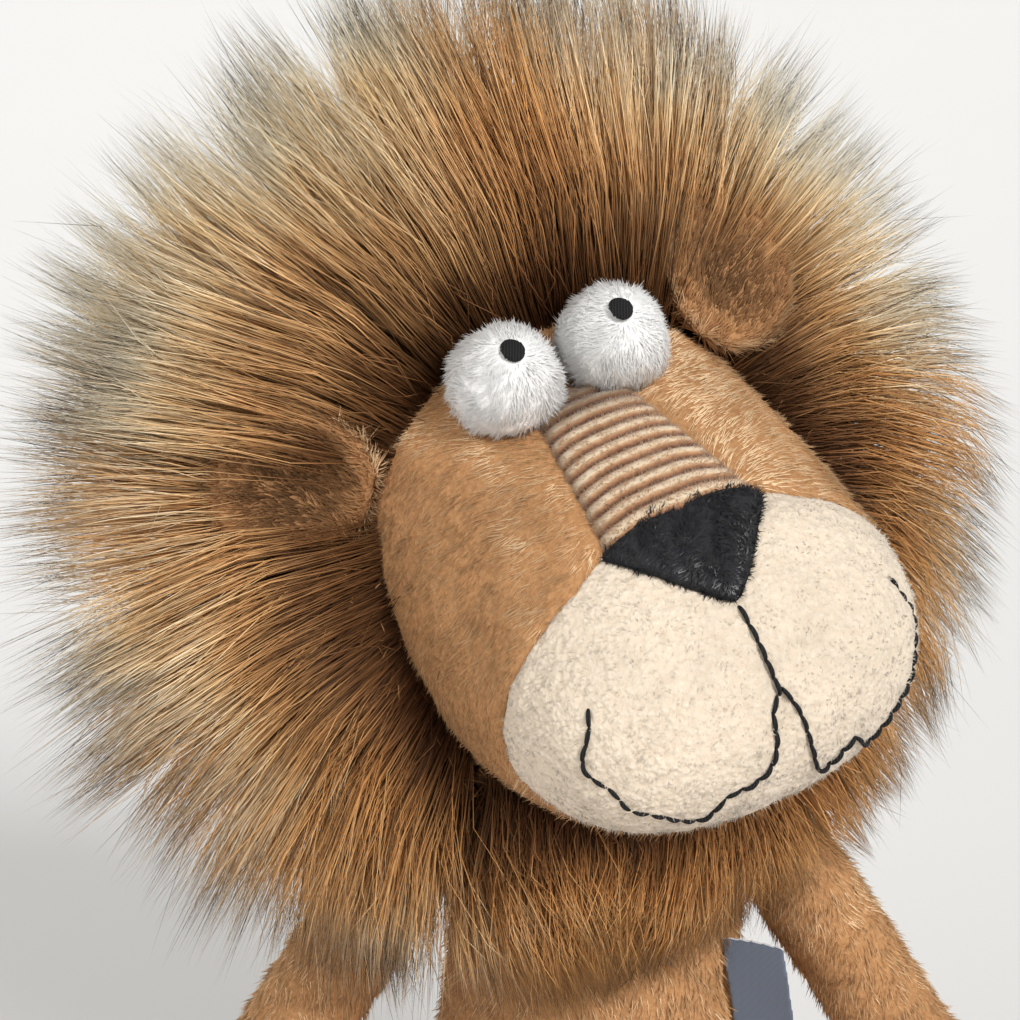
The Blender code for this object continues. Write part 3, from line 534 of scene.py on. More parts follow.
def placed(tree, made, **values):
    node = tree.nodes.new("ShaderNodeGroup")
    node.node_tree = made
    for name, value in values.items():
        node.inputs[name].default_value = value
    return node


def cloth(name, **sockets):
    """A new material whose shader has these plain values."""
    material = bpy.data.materials.new(name)
    material.use_nodes = True
    tree = material.node_tree
    shader = tree.nodes["Principled BSDF"]
    for label, value in sockets.items():
        socket = shader.inputs[label.replace("_", " ")]
        socket.default_value = value
    return material, tree, shader


def bumped(tree, shader, height, depth, strength=0.7):
    node = tree.nodes.new("ShaderNodeBump")
    node.inputs["Strength"].default_value = strength
    node.inputs["Distance"].default_value = depth * MM
    join(tree, height, node.inputs["Height"])
    join(tree, node.outputs[0], shader.inputs["Normal"])


def toned(tree, colour, tone, low, high):
    """The colour made darker or lighter by a fibre's own tone."""
    level = tree.nodes.new("ShaderNodeMapRange")
    level.inputs["To Min"].default_value = low
    level.inputs["To Max"].default_value = high
    join(tree, tone, level.inputs["Value"])
    return mixed(tree, 1.0, colour, level.outputs[0], "MULTIPLY")


def pile_cloth(name, stops, strength=0.3, spread=(0.75, 1.25), pale=None, **sockets):
    """The finish of loose fibres: dark at the root, lighter at the tip, each a little its own."""
    material, tree, shader = cloth(name, **sockets)
    facts = placed(tree, FIBRE_FACTS)
    patches = placed(tree, TONE_AND_SHEEN, Strength=strength)
    colour = ramp(tree, facts.outputs["Along"], stops)
    if pale is not None:
        most = ramp(tree, facts.outputs["Tone"], [(0.55, (0.0,) * 3), (0.95, (0.9,) * 3)])
        colour = mixed(tree, most, colour, pale)
    colour = toned(tree, colour, facts.outputs["Tone"], *spread)
    colour = mixed(tree, 1.0, colour, patches.outputs["Shade"], "MULTIPLY")
    join(tree, colour, shader.inputs["Base Color"])
    return material


def backing_cloth(name, dark, light, grain=1.4, **sockets):
    """The finish of a pile cloth's ground, seen between the fibres."""
    material, tree, shader = cloth(name, **sockets)
    patches = placed(tree, TONE_AND_SHEEN, Strength=0.35)
    fine = noise(tree, grain, 4, 0.65)
    colour = ramp(tree, fine, [(0.3, dark), (0.7, light)])
    colour = mixed(tree, 1.0, colour, patches.outputs["Shade"], "MULTIPLY")
    join(tree, colour, shader.inputs["Base Color"])
    bumped(tree, shader, fine, 0.8)
    return material


def mane_cloth():
    """Long fur: brown at the root, then tan or cream by the lock, with black on many tips."""
    material, tree, shader = cloth("mane_fur", Roughness=0.5, Specular_IOR_Level=0.18)
    facts = placed(tree, FIBRE_FACTS)
    along, tone = facts.outputs["Along"], facts.outputs["Tone"]
    shift = math_node(tree, "SUBTRACT", noise(tree, 34, 2), 0.5)
    shift = math_node(tree, "MULTIPLY", shift, 0.5)
    along = math_node(tree, "ADD", along, shift, True)
    tan = ramp(tree, along, [
        (0.0, (0.070, 0.026, 0.010)),
        (0.20, (0.18, 0.074, 0.026)),
        (0.42, (0.53, 0.245, 0.080)),
        (0.68, (0.74, 0.400, 0.150)),
        (1.0, (0.76, 0.48, 0.23)),
    ])
    cream = ramp(tree, along, [
        (0.0, (0.095, 0.040, 0.015)),
        (0.20, (0.26, 0.120, 0.045)),
        (0.42, (0.66, 0.365, 0.148)),
        (0.60, (0.91, 0.66, 0.36)),
        (0.78, (0.95, 0.83, 0.61)),
        (1.0, (0.95, 0.86, 0.69)),
    ])
    pale = ramp(tree, tone, [(0.25, (0.0,) * 3), (0.72, (1.0,) * 3)])
    colour = mixed(tree, pale, tan, cream)
    own = math_node(tree, "FRACT", math_node(tree, "MULTIPLY", tone, 53.7))
    tip = ramp(tree, along, [(0.74, (0.0,) * 3), (0.88, (1.0,) * 3)])
    tipped = math_node(tree, "MULTIPLY", math_node(tree, "GREATER_THAN", own, 0.62), tip)
    guard = math_node(tree, "MULTIPLY", math_node(tree, "GREATER_THAN", own, 0.93), 0.85)
    black = math_node(tree, "MAXIMUM", tipped, guard)
    patches = placed(tree, TONE_AND_SHEEN, Strength=0.3)
    colour = mixed(tree, 1.0, colour, patches.outputs["Shade"], "MULTIPLY")
    colour = toned(tree, colour, own, 0.68, 1.30)
    colour = mixed(tree, black, colour, (0.020, 0.011, 0.007))
    join(tree, colour, shader.inputs["Base Color"])
    return material


def terry_cloth(name, light, dark):
    material, tree, shader = cloth(name, Roughness=0.92, Sheen_Weight=0.25, Sheen_Roughness=0.5)
    loops = placed(tree, LOOPS, Size=620.0)
    patches = placed(tree, TONE_AND_SHEEN, Strength=0.24)
    colour = mixed(tree, loops.outputs["Gap"], dark, light)
    colour = mixed(tree, 1.0, colour, patches.outputs["Shade"], "MULTIPLY")
    join(tree, colour, shader.inputs["Base Color"])
    bumped(tree, shader, loops.outputs["Height"], 0.9)
    return material


def ribbed_cloth():
    """Wide cord: ribs from dark valleys to pale tops, painted shade and painted highlight, one slope of
    each painted lighter, blotches of the cord's own tone, and painted shade towards the eyes and along
    both edges.
    """
    material, tree, shader = cloth("ribbed_cord", Roughness=0.88, Sheen_Weight=0.3)
    pattern = tree.nodes.new("ShaderNodeUVMap")
    split = tree.nodes.new("ShaderNodeSeparateXYZ")
    join(tree, pattern.outputs["UV"], split.inputs[0])
    wave = math_node(tree, "MULTIPLY", split.outputs["Y"], math.tau * BRIDGE_RIBS)
    ridge = math_node(tree, "MULTIPLY", math_node(tree, "COSINE", wave), -0.5)
    ridge = math_node(tree, "POWER", math_node(tree, "ADD", ridge, 0.5, True), 0.55)
    # painted light: one slope of each rib lighter and the other darker, as if lit from one side
    sides = math_node(tree, "MULTIPLY", math_node(tree, "SINE", wave), 0.22)
    ridge = math_node(tree, "ADD", ridge, sides)
    rough = noise(tree, 0.9, 4, 0.7)
    blotch = math_node(tree, "ADD", math_node(tree, "MULTIPLY", rough, 0.3), noise(tree, 7, 2))
    rib_light_and_blotch = math_node(tree, "ADD", ridge, math_node(tree, "MULTIPLY", blotch, 0.5))
    rib_light_and_blotch = math_node(tree, "SUBTRACT", rib_light_and_blotch, 0.16)
    colour = ramp(tree, rib_light_and_blotch, [
        (0.22, (0.13, 0.048, 0.020)),
        (0.42, (0.36, 0.165, 0.078)),
        (0.66, (0.54, 0.300, 0.155)),
        (0.88, (0.70, 0.49, 0.30)),
        (1.0, (0.80, 0.64, 0.45)),
    ])
    # painted shade: the strip darkens towards its top, under the eyes
    shade = ramp(tree, split.outputs["Y"], [(0.0, (0.25,) * 3), (0.17, (0.48,) * 3), (0.30, (0.92,) * 3),
                                            (0.5, (1.0,) * 3)])
    colour = mixed(tree, 1.0, colour, shade, "MULTIPLY")
    # painted shade: darker along both edges, where the strip tucks under the cover
    ends = ramp(tree, split.outputs["X"], [(0.0, (0.55,) * 3), (0.14, (0.95,) * 3), (0.88, (1.0,) * 3),
                                           (1.0, (0.80,) * 3)])
    colour = mixed(tree, 1.0, colour, ends, "MULTIPLY")
    join(tree, colour, shader.inputs["Base Color"])
    bumped(tree, shader, rough, 0.35)
    return material


def thread_cloth():
    """Twisted black yarn: two plies wound round each other."""
    material, tree, shader = cloth("black_thread", Roughness=0.7, Specular_IOR_Level=0.25)
    place = tree.nodes.new("ShaderNodeTexCoord")
    twist = tree.nodes.new("ShaderNodeTexWave")
    twist.inputs["Scale"].default_value = 420
    twist.inputs["Distortion"].default_value = 1.5
    join(tree, place.outputs["Object"], twist.inputs["Vector"])
    colour = ramp(tree, twist.outputs["Fac"], [(0.2, (0.004, 0.004, 0.005)), (0.9, (0.016,) * 3)])
    join(tree, colour, shader.inputs["Base Color"])
    bumped(tree, shader, twist.outputs["Fac"], 0.25)
    return material


def ribbon_cloth(name, low, high):
    """Woven satin ribbon: fine threads across it and a little gloss."""
    material, tree, shader = cloth(name, Roughness=0.45, Sheen_Weight=0.2, Specular_IOR_Level=0.4)
    place = tree.nodes.new("ShaderNodeTexCoord")
    weft = tree.nodes.new("ShaderNodeTexWave")
    weft.bands_direction = "Z"
    weft.inputs["Scale"].default_value = 900
    weft.inputs["Distortion"].default_value = 0.6
    join(tree, place.outputs["Object"], weft.inputs["Vector"])
    colour = ramp(tree, weft.outputs["Fac"], [(0.0, low), (1.0, high)])
    join(tree, colour, shader.inputs["Base Color"])
    bumped(tree, shader, weft.outputs["Fac"], 0.08, 0.5)
    return material


TAN_PILE = pile_cloth(
    "tan_plush",
    [(0.0, (0.40, 0.195, 0.080)), (0.5, (0.61, 0.335, 0.150)), (1.0, (0.80, 0.53, 0.30))],
    strength=0.42, spread=(0.62, 1.32), pale=(0.90, 0.66, 0.41), Roughness=0.7,
    Sheen_Weight=0.1, Sheen_Tint=(0.8, 0.5, 0.3, 1), Specular_IOR_Level=0.12,
)
TAN_GROUND = backing_cloth(
    "tan_ground", (0.38, 0.180, 0.074), (0.58, 0.315, 0.145), Roughness=0.9, Specular_IOR_Level=0.1
)
DARK_PILE = pile_cloth(
    "ear_plush",
    [(0.0, (0.09, 0.036, 0.014)), (0.5, (0.30, 0.140, 0.055)), (1.0, (0.50, 0.28, 0.13))],
    spread=(0.35, 1.55), Roughness=0.7, Specular_IOR_Level=0.12,
)
WHITE_PILE = pile_cloth(
    "white_plush",
    [(0.0, (0.97, 0.96, 0.94)), (0.5, (0.98, 0.975, 0.96)), (1.0, (0.99, 0.985, 0.975))],
    strength=0.02, spread=(0.98, 1.01), Roughness=0.9,
)
WHITE_GROUND = backing_cloth(
    "white_ground", (0.96, 0.95, 0.93), (0.98, 0.97, 0.955), Roughness=0.95
)
CREAM_TERRY = terry_cloth("cream_terry", (0.83, 0.72, 0.585), (0.74, 0.61, 0.465))
CREAM_PILE = pile_cloth(
    "cream_fuzz",
    [(0.0, (0.77, 0.65, 0.51)), (1.0, (0.86, 0.765, 0.64))],
    strength=0.22, spread=(0.90, 1.05), Roughness=0.9, Sheen_Weight=0.1,
)
BLACK_GROUND = backing_cloth(
    "black_velour", (0.003, 0.003, 0.004), (0.009, 0.009, 0.012), Roughness=0.8
)
BLACK_PILE = pile_cloth(
    "black_pile",
    [(0.0, (0.002, 0.002, 0.003)), (1.0, (0.011, 0.011, 0.015))],
    strength=0.3, spread=(0.5, 1.6), Roughness=0.36, Specular_IOR_Level=0.45,
)
RIBBED_CORD = ribbed_cloth()
RIBBED_NAP = pile_cloth(
    "ribbed_nap",
    [(0.0, (0.40, 0.20, 0.10)), (1.0, (0.60, 0.385, 0.225))],
    strength=0.15, spread=(0.42, 1.42), Roughness=0.85, Sheen_Weight=0.2,
)
BLACK_THREAD = thread_cloth()
MANE_FUR = mane_cloth()
# A dark brown finish for shells under the hair: painted shade of the fur's shaded depth, seen between the
# hairs
MANE_DEPTH_SHADE = backing_cloth(
    "mane_depth_shade", (0.07, 0.028, 0.010), (0.20, 0.088, 0.031), grain=3.0, Roughness=0.9
)
GREY_RIBBON = ribbon_cloth("grey_ribbon", (0.085, 0.105, 0.145), (0.15, 0.18, 0.235))
WHITE_RIBBON = ribbon_cloth("white_ribbon", (0.66, 0.68, 0.70), (0.84, 0.86, 0.88))


def dressed(piece, material, body, slot, *nodes, fill=None):
    """A finished piece: its cloth, the body it moves with and the nodes it stands for."""
    piece.data.materials.clear()
    piece.data.materials.append(material)
    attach(piece, body)
    if nodes:
        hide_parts(*nodes)
    return piece


# The head


def on_head(width, along, height):
    """A place in the head's own millimetres from shares of its width, length and height."""
    return Vector((
        width * HEAD_WIDTH / 2,
        HEAD_BEHIND_NECK - along * HEAD_LENGTH,
        height * HEAD_HEIGHT - HEAD_BELOW_NECK,
    ))


def snapped(places, edges, field):
    """Moves the corners next to a border onto it, so that it runs smoothly across the mesh."""
    a, b = edges.T
    crossing = field[a] * field[b] < 0
    a, b = a[crossing], b[crossing]
    share = field[a] / (field[a] - field[b])
    meet = places[a] + (places[b] - places[a]) * share[:, None]
    pick = np.where(share < 0.5, a, b)
    total, count = np.zeros_like(places), np.zeros(len(places))
    np.add.at(total, pick, meet)
    np.add.at(count, pick, 1)
    moved = count > 0
    places[moved] = total[moved] / count[moved][:, None]
    field[moved] = 0


def head_skin():
    """The whole head as one smooth skin, with how far each corner lies inside each cloth."""
    nodes = [
        "head_cover_left", "head_cover_right", "head_filling", "muzzle_left", "muzzle_right",
        "nose", "nose_bridge",
    ]
    skin = stuffed_form("head_skin", nodes, 2.3, 10)
    places = corners_of(skin)
    far = {
        "cover": distances(node_tree("head_cover_left", "head_cover_right"), places),
        "muzzle": distances(node_tree("muzzle_left", "muzzle_right"), places),
        "nose": distances(node_tree("nose"), places),
        "bridge": distances(node_tree("nose_bridge"), places),
    }
    inside = {
        "muzzle": np.minimum(far["cover"], far["bridge"]) - np.minimum(far["muzzle"], far["nose"]),
        "nose": np.minimum(np.minimum(far["cover"], far["muzzle"]), far["bridge"]) - far["nose"],
        "bridge": np.minimum(np.minimum(far["cover"], far["muzzle"]), far["nose"]) - far["bridge"],
    }
    edges = np.empty(len(skin.data.edges) * 2, np.int32)
    skin.data.edges.foreach_get("vertices", edges)
    faces = np.empty(len(skin.data.polygons) * 4, np.int32)
    skin.data.polygons.foreach_get("vertices", faces)
    return skin, places, edges.reshape(-1, 2), faces.reshape(-1, 4), inside


def inside_faces(faces, field):
    """The faces where a field is positive; one that its border crosses gives half of itself."""
    level = np.sign(field[faces])
    crossed = (level > 0).any(axis=1) & (level < 0).any(axis=1)
    whole = [tuple(face) for face in faces[~crossed & (level.sum(axis=1) > 0)]]
    for face, signs in zip(faces[crossed], level[crossed]):
        k = int(np.argmax(signs > 0))
        whole.append((face[k - 1], face[k], face[(k + 1) % 4]))
    return whole


def part_of(name, places, faces):
    """A piece from some of a skin's faces, with only the corners that they use."""
    used = sorted({corner for face in faces for corner in face})
    number = {corner: i for i, corner in enumerate(used)}
    mesh = bpy.data.meshes.new(name)
    mesh.from_pydata(places[used].tolist(), [], [[number[c] for c in face] for face in faces])
    mesh.shade_smooth()
    return linked(name, mesh)


def seam_drop(inside):
    return -SEAM_DEPTH * np.exp(-(inside / SEAM_SPREAD) ** 2)


def head_back(places):
    """The way the head's pile is combed: out from the bridge, down the cheeks and back."""
    own = to_head(places)
    ways = np.empty((len(places), 3))
    ways[:, 0] = np.clip(own[:, 0] / 25, -1, 1) * 0.75
    ways[:, 1] = 0.65
    ways[:, 2] = -0.75
    return ways @ HEAD_TURN.T


def cheek_light(places):
    """The cheeks' tone: a painted highlight beside the bridge in the upper front of the face, strong on
    the head's left side where the key light falls and faint on its right, over streaks and broad patches
    of the pile's own tone.
    """
    own = to_head(places)
    beside = np.exp(-((np.abs(own[:, 0]) - 28) / 15) ** 2) * np.clip((60 - own[:, 1]) / 60, 0, 1)
    # painted highlight: the cheek beside the bridge is paler on the side facing the key light
    lit_side_highlight = np.where(own[:, 0] > 0, 0.66, 0.22)
    tone = 0.40 + lit_side_highlight * beside * (own[:, 2] > 60)
    streak = drift(own * np.array((1.0, 0.5, 0.35)), 5, 23)[:, 0] * 0.2
    broad = drift(own, 20, 24)[:, 0] * 0.14
    return tone + streak + broad


def head():
    skin, places, edges, faces, inside = head_skin()
    ways = normals_of(skin)
    own = to_head(places)

    drop = seam_drop(inside["muzzle"])
    middle = np.exp(-(own[:, 0] / 1.3) ** 2)
    drop -= 0.7 * middle
    flat = places + ways * (drop * MM)[:, None]
    lump = drift(own, 17, 5)[:, 0] * 0.5
    flat += ways * (lump * MM)[:, None]

    border = inside["muzzle"].copy()
    muzzle_places = flat.copy()
    snapped(muzzle_places, edges, border)
    under = inside["bridge"] > 0
    cover_places = muzzle_places.copy()
    cover_places[under] -= ways[under] * 0.6 * MM
    cover = part_of("head_cover", cover_places, inside_faces(faces, -border))
    shaped(cover, "SOLIDIFY", thickness=2.0 * MM, offset=-1)
    dressed(
        cover, TAN_GROUND, "head", "tan_plush",
        "head_cover_left", "head_cover_right", "head_filling", fill=0.9,
    )

    far_in = np.clip(inside["nose"], 0, 9) / 9
    muzzle_places -= ways * (far_in > 0)[:, None] * 0.6 * MM
    muzzle = part_of("muzzle", muzzle_places, inside_faces(faces, border))
    shaped(muzzle, "SUBSURF", levels=1, render_levels=1)
    puff = bpy.data.textures.new("terry_puffs", "CLOUDS")
    puff.noise_scale = 2.4 * MM
    shaped(muzzle, "DISPLACE", texture=puff, strength=1.3 * MM, mid_level=0.5, texture_coords="LOCAL")
    shaped(muzzle, "SOLIDIFY", thickness=2.0 * MM, offset=-1)
    dressed(
        muzzle, CREAM_TERRY, "head", "cream_terry", "muzzle_left", "muzzle_right", fill=0.9
    )

    nose_field = inside["nose"].copy()
    nose_places = flat.copy()
    snapped(nose_places, edges, nose_field)
    rise = 0.3 + 2.0 * (1 - np.exp(-np.maximum(nose_field, 0) / 1.3))
    nose_places += ways * (rise * MM)[:, None]
    nose = part_of("nose_cover", nose_places, inside_faces(faces, nose_field))
    shaped(nose, "SUBSURF", levels=1, render_levels=1)
    shaped(nose, "SOLIDIFY", thickness=2.6 * MM, offset=-1)
    dressed(nose, BLACK_GROUND, "head", "black_velour", "nose")

    tree = tree_of(skin)
    bare = node_tree("nose_bridge", "nose", "muzzle_left", "muzzle_right")

    def furred(spots):
        mine = to_head(spots)
        front = (mine[:, 1] < 6) | (mine[:, 2] < 20)
        for side in ("left", "right"):
            low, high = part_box("ear_front_" + side)
            off = spots - np.array((low + high) / 2)
            front |= (np.linalg.norm(off, axis=1) < 34 * MM) & (mine[:, 1] < 34)
        clear = distances(bare, spots) > 0.25
        return front & clear

    def left_half(spots):
        return furred(spots) & (to_head(spots)[:, 0] > 0)

    def right_half(spots):
        return furred(spots) & (to_head(spots)[:, 0] <= 0)

    for side, wanted in (("left", left_half), ("right", right_half)):
        nap = pile(
            "head_pile_" + side, cover, 27500, 4.2, 0.33, head_back, 21 + (side == "left"),
            lean=0.83, ruffle=0.18, wanted=wanted, shade=cheek_light,
        )
        dressed(nap, TAN_PILE, "head", "tan_plush")
    fuzz = pile(
        "muzzle_fuzz", muzzle, 14000, 1.4, 0.41, lambda spots: drift(spots, 3 * MM, 31), 32,
        lean=0.55, ruffle=0.5, wanted=lambda spots: distances(node_tree("nose"), spots) > 0.8,
    )
    dressed(fuzz, CREAM_PILE, "head", "cream_terry")
    nap = pile(
        "nose_pile", nose, 6200, 2.3, 0.46, lambda spots: -head_back(spots), 42,
        lean=0.66, ruffle=0.50,
    )
    dressed(nap, BLACK_PILE, "head", "black_velour")
    return skin, tree


def cast_down(tree, place, way):
    """Where a ray in the head's own frame meets its skin, and the way the skin faces there."""
    start = HEAD_STAND @ (Vector(place) * MM)
    aim = (HEAD_LEAN.to_matrix() @ Vector(way)).normalized()
    hit, face, _, _ = tree.ray_cast(start, aim)
    return hit, face


def nose_bridge(tree):
    """The strip of wide cord between the eyes and the nose, with its ribs across it."""
    across, lengthwise = 26, BRIDGE_RIBS * 12
    places = np.empty((lengthwise + 1, across + 1, 3))
    facing = np.empty_like(places)
    for i in range(lengthwise + 1):
        share = i / lengthwise
        along = BRIDGE_TOP + (BRIDGE_FOOT - BRIDGE_TOP) * share
        half = BRIDGE_TOP_WIDTH + (BRIDGE_FOOT_WIDTH - BRIDGE_TOP_WIDTH) * share
        for j in range(across + 1):
            width = (2 * j / across - 1) * half / HEAD_WIDTH
            spot = on_head(width, along, 1.6)
            hit, face = cast_down(tree, spot, (0, 0, -1))
            places[i, j], facing[i, j] = hit, face
    for _ in range(3):
        facing[1:-1] = unit(facing[:-2] + facing[1:-1] * 2 + facing[2:])
        facing[:, 1:-1] = unit(facing[:, :-2] + facing[:, 1:-1] * 2 + facing[:, 2:])
    share = np.linspace(0, 1, lengthwise + 1)[:, None]
    width = np.abs(np.linspace(-1, 1, across + 1))[None]
    turn = share * math.tau * BRIDGE_RIBS
    ridge = (0.5 - 0.5 * np.cos(turn)) ** 0.55
    tuck = np.clip((1 - width) / 0.09, 0, 1) ** 0.6
    rng = np.random.default_rng(51)
    wobble = rng.normal(size=places.shape[:2]) * 0.03
    rise = (0.25 + ridge * RIB_HEIGHT + wobble) * tuck - 0.5 * (1 - tuck)
    rise = rise + BRIDGE_CROWN * (1 - width ** 2) * np.clip(share * 6, 0, 1)
    places += facing * (rise * MM)[..., None]
    count = across + 1
    grid = np.arange((lengthwise + 1) * count).reshape(-1, count)
    faces = np.stack((grid[:-1, :-1], grid[:-1, 1:], grid[1:, 1:], grid[1:, :-1]), axis=-1)
    tones = np.tile(np.linspace(0, 1, count), lengthwise + 1)
    along = np.repeat(np.linspace(0, 1, lengthwise + 1), count)
    strip = woven_mesh("bridge_cord", places.reshape(-1, 3), faces.reshape(-1, 4), tones, along)
    middle = strip.data.polygons[len(strip.data.polygons) // 2].normal
    if middle.dot(Vector(facing[lengthwise // 2, across // 2])) < 0:
        strip.data.flip_normals()
    # The nap's tone follows the ribs and the light: painted highlight on the tops, painted shade in the
    # valleys and on one slope, and painted shade towards the eyes at the top
    level = (ridge * 0.8 + 0.28 * np.sin(turn)) * (0.2 + 0.8 * np.clip(share / 0.3, 0, 1))
    level = np.broadcast_to(np.clip(level, 0, 1), places.shape[:2])
    grid_places, grid_rib_light = places.reshape(-1, 3), level.ravel()

    def rib_light_tone(spots):
        return 0.05 + 0.9 * grid_rib_light[nearest(spots, grid_places)]

    nap = pile(
        "bridge_nap", strip, 8000, 1.1, 0.27, head_back, 53, lean=0.45, ruffle=0.5, shade=rib_light_tone
    )
    dressed(nap, RIBBED_NAP, "head", "ribbed_cord")
    shaped(strip, "SOLIDIFY", thickness=1.6 * MM, offset=-1)
    dressed(strip, RIBBED_CORD, "head", "ribbed_cord", "nose_bridge")


def even_path(points, step):
    """The same path with places an even step apart, rounded where it turns."""
    points = [Vector(p) for p in points]
    fine = []
    for i in range(len(points) - 1):
        before, a, b = points[max(i - 1, 0)], points[i], points[i + 1]
        after = points[min(i + 2, len(points) - 1)]
        for k in range(12):
            t = k / 12
            fine.append(
                ((a * 2) + (b - before) * t + (before * 2 - a * 5 + b * 4 - after) * t * t
                 + (a * 3 - before - b * 3 + after) * t ** 3) / 2
            )
    fine.append(points[-1])
    length = [0.0]
    for a, b in zip(fine, fine[1:]):
        length.append(length[-1] + (b - a).length)
    count = max(int(round(length[-1] / step)), 1)
    wanted = np.linspace(0, length[-1], count + 1)
    return np.stack([np.interp(wanted, length, [p[k] for p in fine]) for k in range(3)], axis=1)


def stitched(name, tree, shares, side, node, sunk=(2, 2)):
    """A line of sewn stitches over the muzzle: each stitch dips into the cloth at its ends."""
    rough = [on_head(side * w, 0, h) for w, h in shares]
    spots = []
    for spot in even_path([(p.x, 0, p.z) for p in rough], 0.55):
        hit, face = cast_down(tree, (spot[0], -200, spot[2]), (0, 1, 0))
        spots.append((hit, face))
    each = max(int(round(STITCH_LENGTH / 0.55)), 3)
    curve = bpy.data.curves.new(name, "CURVE")
    curve.dimensions = "3D"
    curve.bevel_depth = THREAD_RADIUS * MM
    curve.bevel_resolution = 3
    curve.use_fill_caps = True
    for start in range(0, len(spots) - 1, each):
        drop = 0.55 if sunk[0] < start / len(spots) < sunk[1] else 0
        run = spots[start:start + each + 1]
        if len(run) < 3:
            break
        line = curve.splines.new("POLY")
        line.points.add(len(run) - 1)
        for k, (knot, (hit, face)) in enumerate(zip(line.points, run)):
            share = k / (len(run) - 1)
            lift = math.sin(math.pi * share) ** 0.5 - 0.5 - drop
            knot.co = (*(hit + face * lift * MM), 1)
            knot.radius = 0.75 + 0.3 * math.sin(math.pi * share)
    lead = linked(name, curve)
    alone(lead)
    bpy.ops.object.convert(target="MESH")
    lead.data.shade_smooth()
    dressed(lead, BLACK_THREAD, "head", "black_thread", node)


def eye(side, sign):
    nodes = ["eye_" + side, "eye_filling_" + side, "pupil_" + side]
    globe = stuffed_form("eyeball_" + side, nodes, 1.3, 8)
    places, ways = corners_of(globe), normals_of(globe)
    puff = drift(to_head(places), 8, 60 + sign)[:, 0] * 0.5 - 0.3
    move_corners(globe, places + ways * (puff * MM)[:, None])
    dressed(
        globe, WHITE_GROUND, "head", "white_plush", "eye_" + side, "eye_filling_" + side, fill=0.9
    )
    centre = HEAD_STAND @ (Vector((sign * EYE_PLACE[0], *EYE_PLACE[1:])) * MM)
    own_look = Vector((0, -math.cos(PUPIL_RISE), math.sin(PUPIL_RISE)))
    look = (HEAD_LEAN.to_matrix() @ own_look).normalized()
    pupil_spot = np.array(centre + look * EYE_RADIUS * MM)

    def clear(spots):
        return np.linalg.norm(spots - pupil_spot, axis=1) > 2.9 * MM

    def from_pupil(spots):
        return unit(spots - pupil_spot) + drift(spots, 6 * MM, 63 + sign) * 0.5

    nap = pile(
        "eye_pile_" + side, globe, 7800, 3.4, 0.47, from_pupil, 64 + sign,
        lean=0.80, ruffle=0.34, wanted=clear,
    )
    dressed(nap, WHITE_PILE, "head", "white_plush")

    across = Vector((1, 0, 0))
    across = HEAD_LEAN.to_matrix() @ across
    up = look.cross(across).normalized()
    if up.z < 0:
        up = -up
    curve = bpy.data.curves.new("pupil_threads_" + side, "CURVE")
    curve.dimensions = "3D"
    curve.bevel_depth = 0.34 * MM
    curve.bevel_resolution = 2
    curve.use_fill_caps = True
    threads = 13
    for i in range(threads):
        share = (2 * (i + 0.5) / threads - 1)
        half = PUPIL_HEIGHT / 2 * math.sqrt(1 - share * share)
        line = curve.splines.new("POLY")
        line.points.add(8)
        for k, knot in enumerate(line.points):
            level = (2 * k / 8 - 1)
            aside = share * PUPIL_WIDTH / 2
            bulge = 0.55 * math.sqrt(max(1 - level ** 4, 0)) - 0.2
            spot = across * aside + up * (level * half)
            way = (look * EYE_RADIUS + spot).normalized()
            knot.co = (*(centre + way * (EYE_RADIUS + 0.35 + bulge) * MM), 1)
    lead = linked("pupil_threads_" + side, curve)
    alone(lead)
    bpy.ops.object.convert(target="MESH")
    lead.data.shade_smooth()
    dressed(lead, BLACK_THREAD, "head", "black_thread", "pupil_" + side)


def ear(side, sign):
    front_tree = node_tree("ear_front_" + side)
    form = stuffed_form("ear_" + side, ["ear_front_" + side, "ear_back_" + side], 1.1, 6)
    dressed(form, TAN_GROUND, "head", "tan_plush", "ear_front_" + side, "ear_back_" + side, fill=0.5)
    back_tree = node_tree("ear_back_" + side)

    def cupped(spots):
        return distances(front_tree, spots) < distances(back_tree, spots)

    def outside(spots):
        return ~cupped(spots)

    low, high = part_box("ear_front_" + side)
    middle = np.array((low + high) / 2)

    def to_rim(spots):
        return unit(to_head(spots) - np.array((0, -10, 60))) @ HEAD_TURN.T

    # painted shade: the lining darkens towards the middle of the cup's hollow and is palest at the rim
    def cup_hollow_shade(spots):
        far = np.linalg.norm(spots - middle, axis=1) / (EAR_REACH * MM)
        return 0.10 + 0.80 * np.clip(far, 0, 1) ** 2.2

    inner = pile(
        "ear_lining_" + side, form, 4200, 4.6, 0.46, to_rim, 71 + sign,
        lean=0.78, ruffle=0.25, wanted=cupped, shade=cup_hollow_shade,
    )
    dressed(inner, DARK_PILE, "head", "tan_plush")
    outer = pile(
        "ear_pile_" + side, form, 5900, 5.4, 0.48, to_rim, 74 + sign,
        lean=0.62, ruffle=0.36, wanted=outside,
    )
    dressed(outer, TAN_PILE, "head", "tan_plush")


# The mane


def mane_tip(angle, turn):
    """The mane's outer surface at an angle from the top and a step along its outline."""
    steps = np.arange(len(MANE_OUTLINE))
    along = np.interp(turn, steps, MANE_OUTLINE[:, 0])
    radius = np.interp(turn, steps, MANE_OUTLINE[:, 1]) * MANE_RADIUS
    forward = MANE_FORWARD * ((1 - np.cos(angle)) / 2) ** 2 * (1 - along)
    return np.stack((
        radius * np.sin(angle),
        MANE_FRONT + along * MANE_LENGTH - forward,
        MANE_MIDDLE + radius * np.cos(angle),
    ), axis=1)


